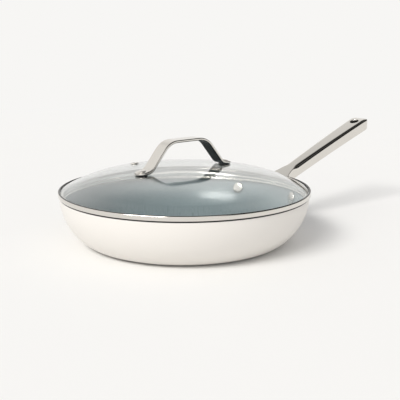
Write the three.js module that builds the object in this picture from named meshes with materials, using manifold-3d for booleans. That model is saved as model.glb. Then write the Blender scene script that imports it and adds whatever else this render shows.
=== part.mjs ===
// Covered frying pan: a pressed pan with a long riveted handle, and a domed glass lid.
// Millimetres, +Z up. Origin: centre of the underside. +X runs along the long handle.
import * as THREE from 'three';
import { mergeVertices } from 'three/addons/utils/BufferGeometryUtils.js';
import Module from 'manifold-3d';

const wasm = await Module();
wasm.setup();

// Fits and smoothness
const SEAT_GAP = 0.3; // between pieces that seat on each other
const ROUND_SEGMENTS = 60; // facets round the pan and the lid
const SMALL_SEGMENTS = 16; // facets round rivets, washers and holes
const WELD = 1e-4; // vertices closer than this are one
const OVERCUT = 12; // cutters run this far past what they cut

// Pan body
const RIM_RADIUS = 151; // outside of the wall at the rim
const RIM_HEIGHT = 59; // rim above the table
const BASE_INSET = 43.5; // the flat underside ends this far inside the rim
const CORNER_RADIUS = 30; // outer corner between underside and wall
const WALL = 3; // wall thickness
const FLOOR = 4.4; // floor thickness
const LIP_ROUND = 1.2; // rounding of both edges of the rim
const CORNER_STEPS = 4;
const FLANK_STEPS = 7;
const LIP_STEPS = 2;

// Base plate, let into the underside
const PLATE_INSET = 15; // plate edge inside the edge of the flat underside
const PLATE_THICK = 1.6;
const PLATE_PROUD = 0.5; // the plate stands this far below the body and carries the pan
const GROOVE_COUNT = 3; // rings pressed into the plate
const GROOVE_INNER = 32; // middle of the innermost ring
const GROOVE_PITCH = 22;
const GROOVE_WIDTH = 3;
const GROOVE_DEPTH = 0.5;

// Long handle, an open channel with a flared root
const HANDLE_LENGTH = 193.5; // from the rim to the tip, level
const HANDLE_RISE = 75; // climb of the top face over that length
const HANDLE_BOW = 1.5; // top face above a straight line at mid length
const HANDLE_DROP = 3.7; // top face below the rim at the wall
const NECK_WIDTH = 20.4;
const TIP_WIDTH = 27.4;
const NECK_DEPTH = 14.6;
const TIP_DEPTH = 16.6;
const EDGE_ROUND = 3.6; // rounding of the top edges
const TIP_ROUND = 18; // length over which the top face rolls down to the tip
const TIP_FALL = 10; // how far it has rolled down at the tip
const HEM_ROUND = 0.8; // rounding of the lower edges
const FLARE_RADIUS = 40; // plan curve from the neck into the yoke
const SIDE_WALL = 2.6; // channel side walls
const TOP_WEB = 3; // channel roof
const HANG_HOLE_RADIUS = 6.4;
const HANG_HOLE_INSET = 22.4; // hole centre from the tip
const FLARE_STEPS = 6;
const SPAN_STEPS = 5; // from the flare to the round tip
const TIP_STEPS = 6;
const TIP_SWEEP = 83; // degrees of the half-round tip before its flat end
const EDGE_STEPS = 3;

// Yoke of the long handle and its rivets
const YOKE_THICK = 4;
const YOKE_DROP = 2.8; // top edge below the rim
const YOKE_WAIST = 20; // height of the yoke at its middle
const RIVET_SPREAD = 20.5; // degrees each side of the handle
const RIVET_DROP = 18.3; // rivet axis below the rim, on the outside of the wall
const LOBE_RADIUS = 13; // end of the yoke round each rivet
const LOBE_UPPER = 50; // degrees round the lobe where the top edge leaves it
const LOBE_LOWER = -120; // and where the lower edge leaves it
const RIVET_SHANK = 3.6;
const RIVET_HEAD = 7.5; // radius of the head inside the pan
const RIVET_DOME = 2.6;
const RIVET_TAIL = 6; // radius of the formed end outside
const TAIL_DOME = 2;

// Glass lid
const BAND_PROUD = 1.5; // band outside the rim of the pan
const BAND_SHEET = 0.9;
const BAND_FLANGE = 2.2; // band folded over the top of the glass
const BAND_ROUND = 1.1; // rolled outer edges of the band
const SKIRT_CLEAR = 2; // skirt inside the wall of the pan
const SKIRT_DEPTH = 8;
const GLASS = 3.5; // glass thickness
const GLASS_LEDGE = 3.6; // flat edge of the glass that the band grips
const DOME_RISE = 24.8;
const DOME_FULLNESS = 3.65; // power of the dome curve: flat crown, full shoulders
const DOME_STEPS = 8;
const DOME_CROWDING = 1.4; // steps close up towards the edge, where the dome bends most

// Lid strap
const STRAP_WIDTH = 18.4;
const STRAP = 3.2; // strap thickness
const STRAP_EDGE = 0.5; // broken edges of the strap
const STRAP_TOP = 36; // top of the strap above the crown of the glass
const STRAP_HALF_TOP = 28.3; // level run, from the middle to the upper bend
const FOOT_RADIUS = 64; // rivets from the lid's axis
const FOOT_HEEL = 9.2; // foot from the rivet in to the lower bend
const FOOT_TOE = 8.2; // foot from the rivet out to its end
const FOOT_TIP = 1.6; // thickness of a foot at its end
const UPPER_BEND = 25;
const LOWER_BEND = 10.5;
const BEND_STEPS = 5;

// Lid rivets and washers
const GLASS_SEAT = 0.45; // flat washers to the hollow of the glass
const GLASS_HOLE_CLEAR = 0.8;
const LID_SHANK = 2.8;
const LID_HEAD = 5;
const LID_DOME = 1.3;
const SHANK_KEY = 0.5; // shank into the head
const LID_TAIL = 4.8;
const LID_TAIL_DOME = 1.6;
const WASHER_RADIUS = 7;
const UPPER_WASHER = 0.5; // thin pad under a foot
const LOWER_WASHER = 0.9;
const BACKING_RADIUS = 6.6;
const BACKING = 0.9;

// Steam vent
const VENT_RADIUS = 78; // from the lid's axis
const VENT_ANGLE = 106; // degrees from the handle
const VENT_BORE = 2.6;
const VENT_TUBE = 3.3;
const VENT_FLANGE = 5.4;
const VENT_ROLL = 4.7; // crimped end under the glass
const VENT_SHEET = 0.8;

// Derived sizes shared by several pieces
const flankRise = RIM_HEIGHT - PLATE_PROUD;
const FLANK_RADIUS = (BASE_INSET ** 2 + flankRise ** 2 - 2 * flankRise * CORNER_RADIUS)
  / (2 * (BASE_INSET - CORNER_RADIUS));
const FLANK_CENTRE = RIM_RADIUS - FLANK_RADIUS;
const PLATE_RADIUS = RIM_RADIUS - BASE_INSET - PLATE_INSET;
const BAND_RADIUS = RIM_RADIUS + BAND_PROUD;
const BAND_HEIGHT = 2 * BAND_SHEET + GLASS + 2 * SEAT_GAP;
const GLASS_RADIUS = BAND_RADIUS - BAND_SHEET - SEAT_GAP;
const DOME_RADIUS = GLASS_RADIUS - GLASS_LEDGE;
const DOME_FOOT = BAND_SHEET + SEAT_GAP + GLASS;
const FOOT_BASE = SEAT_GAP + UPPER_WASHER + SEAT_GAP; // underside of a foot above the glass

const finish = {
  cream: { color: 0xf1ebe0, roughness: 0.35, metalness: 0 },
  plate: { color: 0xb9b8b5, roughness: 0.4, metalness: 1 },
  polished: { color: 0xd9d4cb, roughness: 0.16, metalness: 1 },
  rivet: { color: 0xd6d4d0, roughness: 0.25, metalness: 1 },
  glass: { color: 0xe9f1f0, roughness: 0.03, metalness: 0, transparent: true, opacity: 0.25 },
  seal: { color: 0x2a2b2b, roughness: 0.6, metalness: 0 },
};

const rad = THREE.MathUtils.degToRad;
const flat = (r, z) => new THREE.Vector2(r, z);

// A closed geometry as a solid: welded, without collapsed triangles, faces outwards.
function solid(geometry) {
  const bare = geometry.clone();
  bare.deleteAttribute('normal');
  bare.deleteAttribute('uv');
  const welded = mergeVertices(bare, WELD);
  const points = welded.attributes.position;
  const corner = [new THREE.Vector3(), new THREE.Vector3(), new THREE.Vector3()];
  const triangles = [];
  let volume = 0;
  for (let i = 0; i < welded.index.count; i += 3) {
    const ids = [0, 1, 2].map((k) => welded.index.getX(i + k));
    if (new Set(ids).size < 3) continue;
    ids.forEach((id, k) => corner[k].fromBufferAttribute(points, id));
    volume += corner[0].dot(corner[1].clone().cross(corner[2]));
    triangles.push(ids);
  }
  const outward = triangles.map(([a, b, c]) => (volume < 0 ? [a, c, b] : [a, b, c]));
  return new wasm.Manifold(new wasm.Mesh({
    numProp: 3,
    vertProperties: Float32Array.from(points.array),
    triVerts: Uint32Array.from(outward.flat()),
  }));
}

// A profile of (radius, height) points turned about the Z axis of a frame.
function turn(profile, segments, frame = new THREE.Matrix4()) {
  return solid(new THREE.LatheGeometry(profile, segments).rotateX(Math.PI / 2).applyMatrix4(frame));
}

function turnRing(profile, segments) {
  return turn([...profile, profile[0].clone()], segments);
}

// A round bar along the local Z axis of a frame.
function bar(radius, from, to, frame) {
  const geometry = new THREE.CylinderGeometry(radius, radius, to - from, SMALL_SEGMENTS);
  geometry.rotateX(Math.PI / 2).translate(0, 0, (from + to) / 2);
  return solid(geometry.applyMatrix4(frame));
}

// A skin over a row of rings with equal point counts, closed at both ends.
function loft(rings) {
  const count = rings[0].length;
  const index = [];
  rings.slice(1).forEach((ring, row) => {
    for (let i = 0; i < count; i += 1) {
      const a = row * count + i;
      const b = row * count + (i + 1) % count;
      index.push(a, b, b + count, a, b + count, a + count);
    }
  });
  const last = (rings.length - 1) * count;
  for (let i = 1; i < count - 1; i += 1) {
    index.push(0, i + 1, i, last, last + i, last + i + 1);
  }
  const geometry = new THREE.BufferGeometry().setFromPoints(rings.flat());
  geometry.setIndex(index);
  return solid(geometry);
}

function mesh(name, body, look) {
  const { vertProperties, triVerts } = body.getMesh();
  const geometry = new THREE.BufferGeometry();
  geometry.setAttribute('position', new THREE.BufferAttribute(Float32Array.from(vertProperties), 3));
  geometry.setIndex(new THREE.BufferAttribute(Uint32Array.from(triVerts), 1));
  geometry.computeVertexNormals();
  const part = new THREE.Mesh(geometry, new THREE.MeshStandardMaterial(look));
  part.name = name;
  return part;
}

// A frame whose Z axis leans by `tilt` away from upright, towards `azimuth`.
function station(radius, height, tilt, azimuth) {
  const frame = new THREE.Group();
  frame.position.set(radius * Math.cos(azimuth), radius * Math.sin(azimuth), height);
  frame.rotation.set(0, tilt, azimuth, 'ZYX');
  frame.updateMatrix();
  return frame;
}

// Quarter of a dome from its pole on the axis to its edge.
function dome(radius, base, height, steps = 3) {
  return Array.from({ length: steps + 1 }, (_, i) => {
    const a = (Math.PI / 2) * (1 - i / steps);
    return flat(radius * Math.cos(a), base + height * Math.sin(a));
  });
}

function washer(bore, radius, base, thickness) {
  return turnRing([
    flat(bore, base),
    flat(radius, base),
    flat(radius, base + thickness),
    flat(bore, base + thickness),
  ], SMALL_SEGMENTS);
}

// The side of the pan, moved outwards by `offset`: a corner arc off the floor at `floorZ`,
// then a fuller arc tangent to it that stands upright at the rim.
function wallCurve(offset, floorZ, topZ) {
  const corner = CORNER_RADIUS + offset;
  const flank = FLANK_RADIUS + offset;
  const cornerZ = floorZ + corner;
  const cornerR = FLANK_CENTRE
    + Math.sqrt((flank - corner) ** 2 - (RIM_HEIGHT - cornerZ) ** 2);
  const join = Math.atan2(cornerR - FLANK_CENTRE, RIM_HEIGHT - cornerZ);
  const end = Math.acos((RIM_HEIGHT - topZ) / flank);
  const points = [];
  for (let i = 0; i <= CORNER_STEPS; i += 1) {
    const a = (join * i) / CORNER_STEPS;
    points.push(flat(cornerR + corner * Math.sin(a), cornerZ - corner * Math.cos(a)));
  }
  for (let i = 1; i <= FLANK_STEPS; i += 1) {
    const a = join + ((end - join) * i) / FLANK_STEPS;
    points.push(flat(FLANK_CENTRE + flank * Math.sin(a), RIM_HEIGHT - flank * Math.cos(a)));
  }
  return points;
}

function wallRadius(z, offset) {
  return FLANK_CENTRE + Math.sqrt((FLANK_RADIUS + offset) ** 2 - (RIM_HEIGHT - z) ** 2);
}

// Frames of the two handle rivets: Z leaves the wall squarely, zero on its outside.
function rivetStation(side) {
  const z = RIM_HEIGHT - RIVET_DROP;
  const tilt = Math.asin(RIVET_DROP / FLANK_RADIUS);
  return station(wallRadius(z, 0), z, Math.PI / 2 + tilt, side * rad(RIVET_SPREAD));
}

function panBody() {
  const underside = PLATE_PROUD;
  const pocket = PLATE_THICK + SEAT_GAP;
  const pocketRadius = PLATE_RADIUS + SEAT_GAP;
  const lipZ = RIM_HEIGHT - LIP_ROUND;
  const inside = RIM_RADIUS - WALL;
  const lip = [];
  for (let i = 1; i <= LIP_STEPS; i += 1) {
    const a = (Math.PI / 2) * (i / LIP_STEPS);
    lip.push(flat(RIM_RADIUS - LIP_ROUND + LIP_ROUND * Math.cos(a), lipZ + LIP_ROUND * Math.sin(a)));
  }
  for (let i = 0; i < LIP_STEPS; i += 1) {
    const a = (Math.PI / 2) * (1 + i / LIP_STEPS);
    lip.push(flat(inside + LIP_ROUND + LIP_ROUND * Math.cos(a), lipZ + LIP_ROUND * Math.sin(a)));
  }
  const floorZ = underside + FLOOR;
  const body = turn([
    flat(0, pocket),
    flat(pocketRadius, pocket),
    flat(pocketRadius, underside),
    ...wallCurve(0, underside, lipZ),
    ...lip,
    ...wallCurve(-WALL, floorZ, lipZ).reverse(),
    flat(0, floorZ),
  ], ROUND_SEGMENTS);
  return [1, -1].reduce((pan, side) => {
    const frame = rivetStation(side).matrix;
    return pan.subtract(bar(RIVET_SHANK + SEAT_GAP, -WALL - OVERCUT, OVERCUT, frame));
  }, body);
}

// Steel disc with shallow pressed rings; its flat underside is what the pan stands on.
function basePlate() {
  const rings = [];
  for (let i = 0; i < GROOVE_COUNT; i += 1) {
    const middle = GROOVE_INNER + i * GROOVE_PITCH;
    rings.push(
      flat(middle - GROOVE_WIDTH / 2, 0),
      flat(middle - GROOVE_WIDTH / 2 + GROOVE_DEPTH, GROOVE_DEPTH),
      flat(middle + GROOVE_WIDTH / 2 - GROOVE_DEPTH, GROOVE_DEPTH),
      flat(middle + GROOVE_WIDTH / 2, 0),
    );
  }
  return turn([
    flat(0, 0),
    ...rings,
    flat(PLATE_RADIUS, 0),
    flat(PLATE_RADIUS, PLATE_THICK),
    flat(0, PLATE_THICK),
  ], ROUND_SEGMENTS);
}

// Height and slope of the long handle's top face at a distance from the pan's axis.
function handleTop(x) {
  const u = (x - RIM_RADIUS) / HANDLE_LENGTH;
  return RIM_HEIGHT - HANDLE_DROP + HANDLE_RISE * u + 4 * HANDLE_BOW * u * (1 - u);
}

function handleSlope(x) {
  const u = (x - RIM_RADIUS) / HANDLE_LENGTH;
  return Math.atan((HANDLE_RISE + 4 * HANDLE_BOW * (1 - 2 * u)) / HANDLE_LENGTH);
}

// Fall of the top face where it rolls over at the tip.
function tipRoll(x) {
  const near = Math.max(0, 1 - (RIM_RADIUS + HANDLE_LENGTH - x) / TIP_ROUND);
  return TIP_FALL * (1 - Math.sqrt(1 - near ** 2));
}

function handleDepth(x) {
  const u = (x - RIM_RADIUS) / HANDLE_LENGTH;
  return THREE.MathUtils.lerp(NECK_DEPTH, TIP_DEPTH, u);
}

// Plan of the handle: half widths along X. The root flares in an arc that is tangent
// to the neck and to the outside of the yoke, and the tip is half round.
function handlePlan(inset) {
  const yokeZ = RIM_HEIGHT - YOKE_DROP - YOKE_WAIST / 2;
  const yoke = wallRadius(yokeZ, SEAT_GAP + YOKE_THICK);
  const neck = NECK_WIDTH / 2;
  const flareX = Math.sqrt((yoke + FLARE_RADIUS) ** 2 - (neck + FLARE_RADIUS) ** 2);
  const meetX = (yoke * flareX) / (yoke + FLARE_RADIUS);
  const tip = RIM_RADIUS + HANDLE_LENGTH;
  const roundX = tip - TIP_WIDTH / 2;
  const round = TIP_WIDTH / 2 - inset;
  return { neck: neck - inset, flareX, meetX, roundX, round };
}

function flareHalf(plan, x) {
  const across = Math.sqrt(FLARE_RADIUS ** 2 - (plan.flareX - x) ** 2);
  return plan.neck + FLARE_RADIUS - across;
}

// One ring across the handle, square to X: rounded above, lightly eased below.
function handleRing(x, half, top, bottom, edge) {
  const above = Math.min(edge, 0.9 * half);
  const below = Math.min(HEM_ROUND, 0.4 * half);
  const points = [];
  const bend = (y, z, radius, from, steps) => {
    for (let i = 0; i <= steps; i += 1) {
      const a = from + (Math.PI / 2) * (i / steps);
      points.push(new THREE.Vector3(x, y + radius * Math.cos(a), z + radius * Math.sin(a)));
    }
  };
  bend(half - above, top - above, above, 0, EDGE_STEPS);
  bend(above - half, top - above, above, Math.PI / 2, EDGE_STEPS);
  bend(below - half, bottom + below, below, Math.PI, 1);
  bend(half - below, bottom + below, below, Math.PI * 1.5, 1);
  return points;
}

// Stations of the long taper from the flare to the round tip.
function spanStations(plan) {
  return Array.from({ length: SPAN_STEPS + 1 }, (_, i) => {
    const u = i / SPAN_STEPS;
    const x = THREE.MathUtils.lerp(plan.flareX, plan.roundX, u);
    return { x, half: THREE.MathUtils.lerp(plan.neck, plan.round, u) };
  });
}

// Stations of the half-round tip, closing on a narrow end.
function tipStations(plan) {
  return Array.from({ length: TIP_STEPS }, (_, i) => {
    const a = rad(TIP_SWEEP) * ((i + 1) / TIP_STEPS);
    return { x: plan.roundX + plan.round * Math.sin(a), half: plan.round * Math.cos(a) };
  });
}

// Outer form of the handle from inside the wall to the tip.
function handleForm() {
  const plan = handlePlan(0);
  const stations = [{ x: plan.meetX - OVERCUT, half: flareHalf(plan, plan.meetX) }];
  for (let i = 0; i < FLARE_STEPS; i += 1) {
    const x = THREE.MathUtils.lerp(plan.meetX, plan.flareX, Math.sqrt(i / FLARE_STEPS));
    stations.push({ x, half: flareHalf(plan, x) });
  }
  stations.push(...spanStations(plan), ...tipStations(plan));
  return loft(stations.map(({ x, half }) => {
    const top = handleTop(x) - tipRoll(x);
    return handleRing(x, half, top, handleTop(x) - handleDepth(x), EDGE_ROUND);
  }));
}

// Hollow of the handle, open below from the neck to the tip wall.
function handleChannel() {
  const plan = handlePlan(SIDE_WALL);
  return loft([...spanStations(plan), ...tipStations(plan)].map(({ x, half }) => {
    const roof = handleTop(x) - tipRoll(x) - TOP_WEB;
    return handleRing(x, half, roof, handleTop(x) - handleDepth(x) - OVERCUT, EDGE_ROUND / 2);
  }));
}

// Yoke seen along the handle: a waist under the root and a round lobe at each rivet.
function yokeOutline() {
  const plan = handlePlan(0);
  const top = RIM_HEIGHT - YOKE_DROP;
  const bottom = top - YOKE_WAIST;
  const rivetZ = RIM_HEIGHT - RIVET_DROP;
  const rivetY = wallRadius(rivetZ, SEAT_GAP + YOKE_THICK / 2) * Math.sin(rad(RIVET_SPREAD));
  const upper = rad(LOBE_UPPER);
  const lower = rad(LOBE_LOWER);
  const onLobe = (a) => [rivetY + LOBE_RADIUS * Math.cos(a), rivetZ + LOBE_RADIUS * Math.sin(a)];
  const [upperY, upperZ] = onLobe(upper);
  const [lowerY, lowerZ] = onLobe(lower);
  const half = new THREE.Path();
  half.moveTo(0, top);
  half.lineTo(flareHalf(plan, plan.meetX), top);
  half.quadraticCurveTo(upperY - (top - upperZ) * Math.tan(upper), top, upperY, upperZ);
  half.absarc(rivetY, rivetZ, LOBE_RADIUS, upper, lower, true);
  const reach = (bottom - lowerZ) * Math.tan(Math.PI + lower);
  half.quadraticCurveTo(lowerY - reach, bottom, plan.neck, bottom);
  half.lineTo(0, bottom);
  const right = half.getPoints(5);
  const left = right.slice(1, -1).reverse().map((p) => flat(-p.x, p.y));
  return new THREE.Shape([...right, ...left]);
}

// Shell that follows the wall, cut to the yoke's outline.
function yoke() {
  const lipZ = RIM_HEIGHT - LIP_ROUND;
  const outer = wallCurve(SEAT_GAP + YOKE_THICK, PLATE_PROUD, lipZ).slice(CORNER_STEPS);
  const inner = wallCurve(0, PLATE_PROUD, lipZ).slice(CORNER_STEPS).reverse();
  const shell = turnRing([...outer, ...inner], ROUND_SEGMENTS);
  const reach = RIM_RADIUS + YOKE_THICK + OVERCUT;
  const block = new THREE.ExtrudeGeometry(yokeOutline(), { depth: reach, bevelEnabled: false });
  const axes = new THREE.Matrix4().makeBasis(
    new THREE.Vector3(0, 1, 0),
    new THREE.Vector3(0, 0, 1),
    new THREE.Vector3(1, 0, 0),
  );
  return shell.intersect(solid(block.applyMatrix4(axes)));
}

// Everything inside the outer face of the pan, with the seat gap added.
function panClearance() {
  const lipZ = RIM_HEIGHT - LIP_ROUND;
  const side = wallCurve(SEAT_GAP, PLATE_PROUD - SEAT_GAP, lipZ);
  const above = RIM_HEIGHT + OVERCUT;
  return turn([
    flat(0, side[0].y),
    ...side,
    flat(side.at(-1).x, above),
    flat(0, above),
  ], ROUND_SEGMENTS);
}

function panHandle() {
  const holeX = RIM_RADIUS + HANDLE_LENGTH - HANG_HOLE_INSET;
  const hole = station(holeX, handleTop(holeX), -handleSlope(holeX), 0).matrix;
  const handle = handleForm()
    .subtract(handleChannel())
    .add(yoke())
    .subtract(panClearance())
    .subtract(bar(HANG_HOLE_RADIUS, -TIP_DEPTH - OVERCUT, OVERCUT, hole));
  return [1, -1].reduce((body, side) => {
    const frame = rivetStation(side).matrix;
    return body.subtract(bar(RIVET_SHANK + SEAT_GAP, -WALL, YOKE_THICK + OVERCUT, frame));
  }, handle);
}

// Rivet with its domed head inside the pan and its formed end on the yoke.
// The head stands off by the hollow of the wall across its width.
function handleRivet() {
  const hollow = RIVET_HEAD ** 2 / (2 * (FLANK_RADIUS - WALL));
  const facet = RIM_RADIUS * (1 - Math.cos(Math.PI / ROUND_SEGMENTS));
  const head = -(WALL + SEAT_GAP + hollow + facet);
  const tail = YOKE_THICK + 2 * SEAT_GAP;
  return turn([
    ...dome(RIVET_HEAD, head, -RIVET_DOME),
    flat(RIVET_SHANK, head),
    flat(RIVET_SHANK, tail),
    ...dome(RIVET_TAIL, tail, TAIL_DOME).reverse(),
  ], SMALL_SEGMENTS);
}

// Height and lean of the outside of the glass at a distance from the lid's axis.
function glassTop(r) {
  return DOME_FOOT + DOME_RISE * (1 - (r / DOME_RADIUS) ** DOME_FULLNESS);
}

function glassLean(r) {
  const slope = (DOME_RISE * DOME_FULLNESS / DOME_RADIUS) * (r / DOME_RADIUS) ** (DOME_FULLNESS - 1);
  return Math.atan(slope);
}

function glassStation(r, azimuth) {
  return station(r, glassTop(r), glassLean(r), azimuth);
}

function lidGlass() {
  const crown = [];
  const under = [];
  for (let i = 0; i <= DOME_STEPS; i += 1) {
    const r = DOME_RADIUS * (1 - (1 - i / DOME_STEPS) ** DOME_CROWDING);
    const lean = glassLean(r);
    crown.push(flat(r, glassTop(r)));
    under.push(flat(r - GLASS * Math.sin(lean), glassTop(r) - GLASS * Math.cos(lean)));
  }
  const base = DOME_FOOT - GLASS;
  const shell = turn([
    ...crown,
    flat(GLASS_RADIUS, DOME_FOOT),
    flat(GLASS_RADIUS, base),
    flat(DOME_RADIUS, base),
    ...under.reverse(),
  ], ROUND_SEGMENTS);
  const through = (radius, frame) => bar(radius, -GLASS - OVERCUT, OVERCUT, frame.matrix);
  return shell
    .subtract(through(LID_SHANK + GLASS_HOLE_CLEAR, glassStation(FOOT_RADIUS, 0)))
    .subtract(through(LID_SHANK + GLASS_HOLE_CLEAR, glassStation(FOOT_RADIUS, Math.PI)))
    .subtract(through(VENT_TUBE + GLASS_HOLE_CLEAR, glassStation(VENT_RADIUS, rad(VENT_ANGLE))));
}

// Rolled band: a channel round the edge of the glass and a skirt that drops into the pan.
function lidRimBand() {
  const wallIn = BAND_RADIUS - BAND_SHEET;
  const skirtOut = RIM_RADIUS - WALL - SKIRT_CLEAR;
  const skirtIn = skirtOut - BAND_SHEET;
  const foldIn = BAND_RADIUS - BAND_FLANGE;
  const ease = BAND_ROUND * (1 - Math.SQRT1_2);
  return turnRing([
    flat(BAND_RADIUS - BAND_ROUND / 2, 0),
    flat(BAND_RADIUS, BAND_ROUND / 2),
    flat(BAND_RADIUS, BAND_HEIGHT - BAND_ROUND),
    flat(BAND_RADIUS - ease, BAND_HEIGHT - ease),
    flat(BAND_RADIUS - BAND_ROUND, BAND_HEIGHT),
    flat(foldIn, BAND_HEIGHT),
    flat(foldIn, BAND_HEIGHT - BAND_SHEET),
    flat(wallIn, BAND_HEIGHT - BAND_SHEET),
    flat(wallIn, BAND_SHEET),
    flat(skirtIn, BAND_SHEET),
    flat(skirtIn, -SKIRT_DEPTH),
    flat(skirtOut, -SKIRT_DEPTH),
    flat(skirtOut, 0),
  ], ROUND_SEGMENTS);
}

// Both sides of a bent strip whose middle line runs through `corners`, rounded at each bend.
// Its upper side falls at both ends, where the strip is only `tip` thick.
function bentStrip(corners, bends, thickness, tip) {
  const sides = [[], []];
  const put = (at, along, upper = thickness / 2) => {
    const across = flat(-along.y, along.x);
    sides[0].push(at.clone().addScaledVector(across, thickness / 2));
    sides[1].push(at.clone().addScaledVector(across, -upper));
  };
  const heading = corners.slice(1).map((p, i) => p.clone().sub(corners[i]).normalize());
  put(corners[0], heading[0], tip - thickness / 2);
  bends.forEach((radius, i) => {
    const before = heading[i];
    const after = heading[i + 1];
    const turned = Math.atan2(before.cross(after), before.dot(after));
    const reach = radius * Math.tan(Math.abs(turned) / 2);
    const start = corners[i + 1].clone().addScaledVector(before, -reach);
    const inward = flat(-before.y, before.x).multiplyScalar(Math.sign(turned) * radius);
    const centre = start.clone().add(inward);
    for (let k = 0; k <= BEND_STEPS; k += 1) {
      const a = turned * (k / BEND_STEPS);
      const at = start.clone().rotateAround(centre, a);
      put(at, before.clone().rotateAround(flat(0, 0), a));
    }
  });
  put(corners.at(-1), heading.at(-1), tip - thickness / 2);
  return [...sides[0], ...sides[1].reverse()];
}

// Corners of the strap's middle line on one side.
function strapCorners() {
  const lean = glassLean(FOOT_RADIUS);
  const middle = FOOT_BASE + STRAP / 2;
  const foot = flat(
    FOOT_RADIUS + middle * Math.sin(lean),
    glassTop(FOOT_RADIUS) + middle * Math.cos(lean),
  );
  const out = flat(Math.cos(lean), -Math.sin(lean));
  const toe = foot.clone().addScaledVector(out, FOOT_TOE);
  const heel = foot.clone().addScaledVector(out, -FOOT_HEEL);
  const grip = flat(STRAP_HALF_TOP, glassTop(0) + STRAP_TOP - STRAP / 2);
  return { toe, heel, grip };
}

// Frame on top of a foot at its rivet. The foot thins from its lower bend to its toe.
function footTop() {
  const { toe, heel, grip } = strapCorners();
  const turned = heel.clone().sub(toe).angleTo(grip.clone().sub(heel));
  const run = FOOT_TOE + FOOT_HEEL - LOWER_BEND * Math.tan(turned / 2);
  const fall = (STRAP - FOOT_TIP) / run;
  return station(0, FOOT_BASE + FOOT_TIP + fall * FOOT_TOE, Math.atan(fall), 0);
}

// Bent strap: level grip, sloping legs and two tapered feet that lie along the glass.
function lidHandle() {
  const { toe, heel, grip } = strapCorners();
  const across = (p) => flat(-p.x, p.y);
  const corners = [toe, heel, grip, across(grip), across(heel), across(toe)];
  const bends = [LOWER_BEND, UPPER_BEND, UPPER_BEND, LOWER_BEND];
  const outline = new THREE.Shape(bentStrip(corners, bends, STRAP, FOOT_TIP));
  const strip = new THREE.ExtrudeGeometry(outline, {
    depth: STRAP_WIDTH - 2 * STRAP_EDGE,
    bevelThickness: STRAP_EDGE,
    bevelSize: STRAP_EDGE,
    bevelOffset: -STRAP_EDGE,
    bevelSegments: 1,
  });
  strip.translate(0, 0, STRAP_EDGE - STRAP_WIDTH / 2).rotateX(Math.PI / 2);
  const end = STRAP_WIDTH / 2;
  const plan = new THREE.Shape();
  plan.absarc(toe.x - end, 0, end, -Math.PI / 2, Math.PI / 2);
  plan.absarc(end - toe.x, 0, end, Math.PI / 2, Math.PI * 1.5);
  const tall = 2 * grip.y;
  const trim = new THREE.ExtrudeGeometry(plan, { depth: tall, bevelEnabled: false, curveSegments: 8 });
  const hole = (azimuth) => {
    const frame = glassStation(FOOT_RADIUS, azimuth).matrix;
    return bar(LID_SHANK + SEAT_GAP, 0, FOOT_BASE + STRAP + OVERCUT, frame);
  };
  return solid(strip).intersect(solid(trim)).subtract(hole(0)).subtract(hole(Math.PI));
}

// Pieces stacked on one lid rivet, from its head on the foot to its tail under the glass.
function lidFixing(azimuth, place) {
  const frame = glassStation(FOOT_RADIUS, azimuth);
  const bore = LID_SHANK + SEAT_GAP;
  const top = footTop();
  const lower = -GLASS - GLASS_SEAT - LOWER_WASHER;
  const backing = lower - SEAT_GAP - BACKING;
  const tail = backing - SEAT_GAP;
  const key = top.position.z + SEAT_GAP + SHANK_KEY;
  const head = turn([
    ...dome(LID_HEAD, SEAT_GAP, LID_DOME),
    flat(0, SEAT_GAP),
  ], SMALL_SEGMENTS, top.matrix);
  const shank = turn([
    flat(0, key),
    flat(LID_SHANK, key),
    flat(LID_SHANK, tail),
    ...dome(LID_TAIL, tail, -LID_TAIL_DOME).reverse(),
  ], SMALL_SEGMENTS);
  frame.add(
    mesh(`lid_rivet_${place}`, head.add(shank), finish.rivet),
    mesh(`upper_washer_${place}`, washer(bore, WASHER_RADIUS, SEAT_GAP, UPPER_WASHER), finish.seal),
    mesh(`lower_washer_${place}`, washer(bore, WASHER_RADIUS, lower, LOWER_WASHER), finish.seal),
    mesh(`backing_washer_${place}`, washer(bore, BACKING_RADIUS, backing, BACKING), finish.rivet),
  );
  return frame;
}

// Eyelet through the glass, crimped on a washer underneath.
function steamVent() {
  const frame = glassStation(VENT_RADIUS, rad(VENT_ANGLE));
  const top = GLASS_SEAT + VENT_SHEET;
  const lower = -GLASS - GLASS_SEAT - LOWER_WASHER;
  const roll = lower - SEAT_GAP;
  const ease = VENT_SHEET / 2;
  const eyelet = turnRing([
    flat(VENT_BORE + ease, top),
    flat(VENT_FLANGE - ease, top),
    flat(VENT_FLANGE, top - ease),
    flat(VENT_FLANGE, GLASS_SEAT),
    flat(VENT_TUBE, GLASS_SEAT),
    flat(VENT_TUBE, roll),
    flat(VENT_ROLL, roll),
    flat(VENT_ROLL, roll - VENT_SHEET),
    flat(VENT_BORE, roll - VENT_SHEET),
    flat(VENT_BORE, top - ease),
  ], SMALL_SEGMENTS);
  const seal = washer(VENT_TUBE + SEAT_GAP, VENT_FLANGE, lower, LOWER_WASHER);
  frame.add(mesh('vent_eyelet', eyelet, finish.rivet), mesh('vent_washer', seal, finish.seal));
  return frame;
}

function panGroup() {
  const pan = new THREE.Group();
  pan.add(
    mesh('pan_body', panBody(), finish.cream),
    mesh('base_plate', basePlate(), finish.plate),
    mesh('pan_handle', panHandle(), finish.polished),
  );
  for (const [side, place] of [[1, 'left'], [-1, 'right']]) {
    const frame = rivetStation(side);
    frame.add(mesh(`handle_rivet_${place}`, handleRivet(), finish.rivet));
    pan.add(frame);
  }
  return pan;
}

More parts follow.
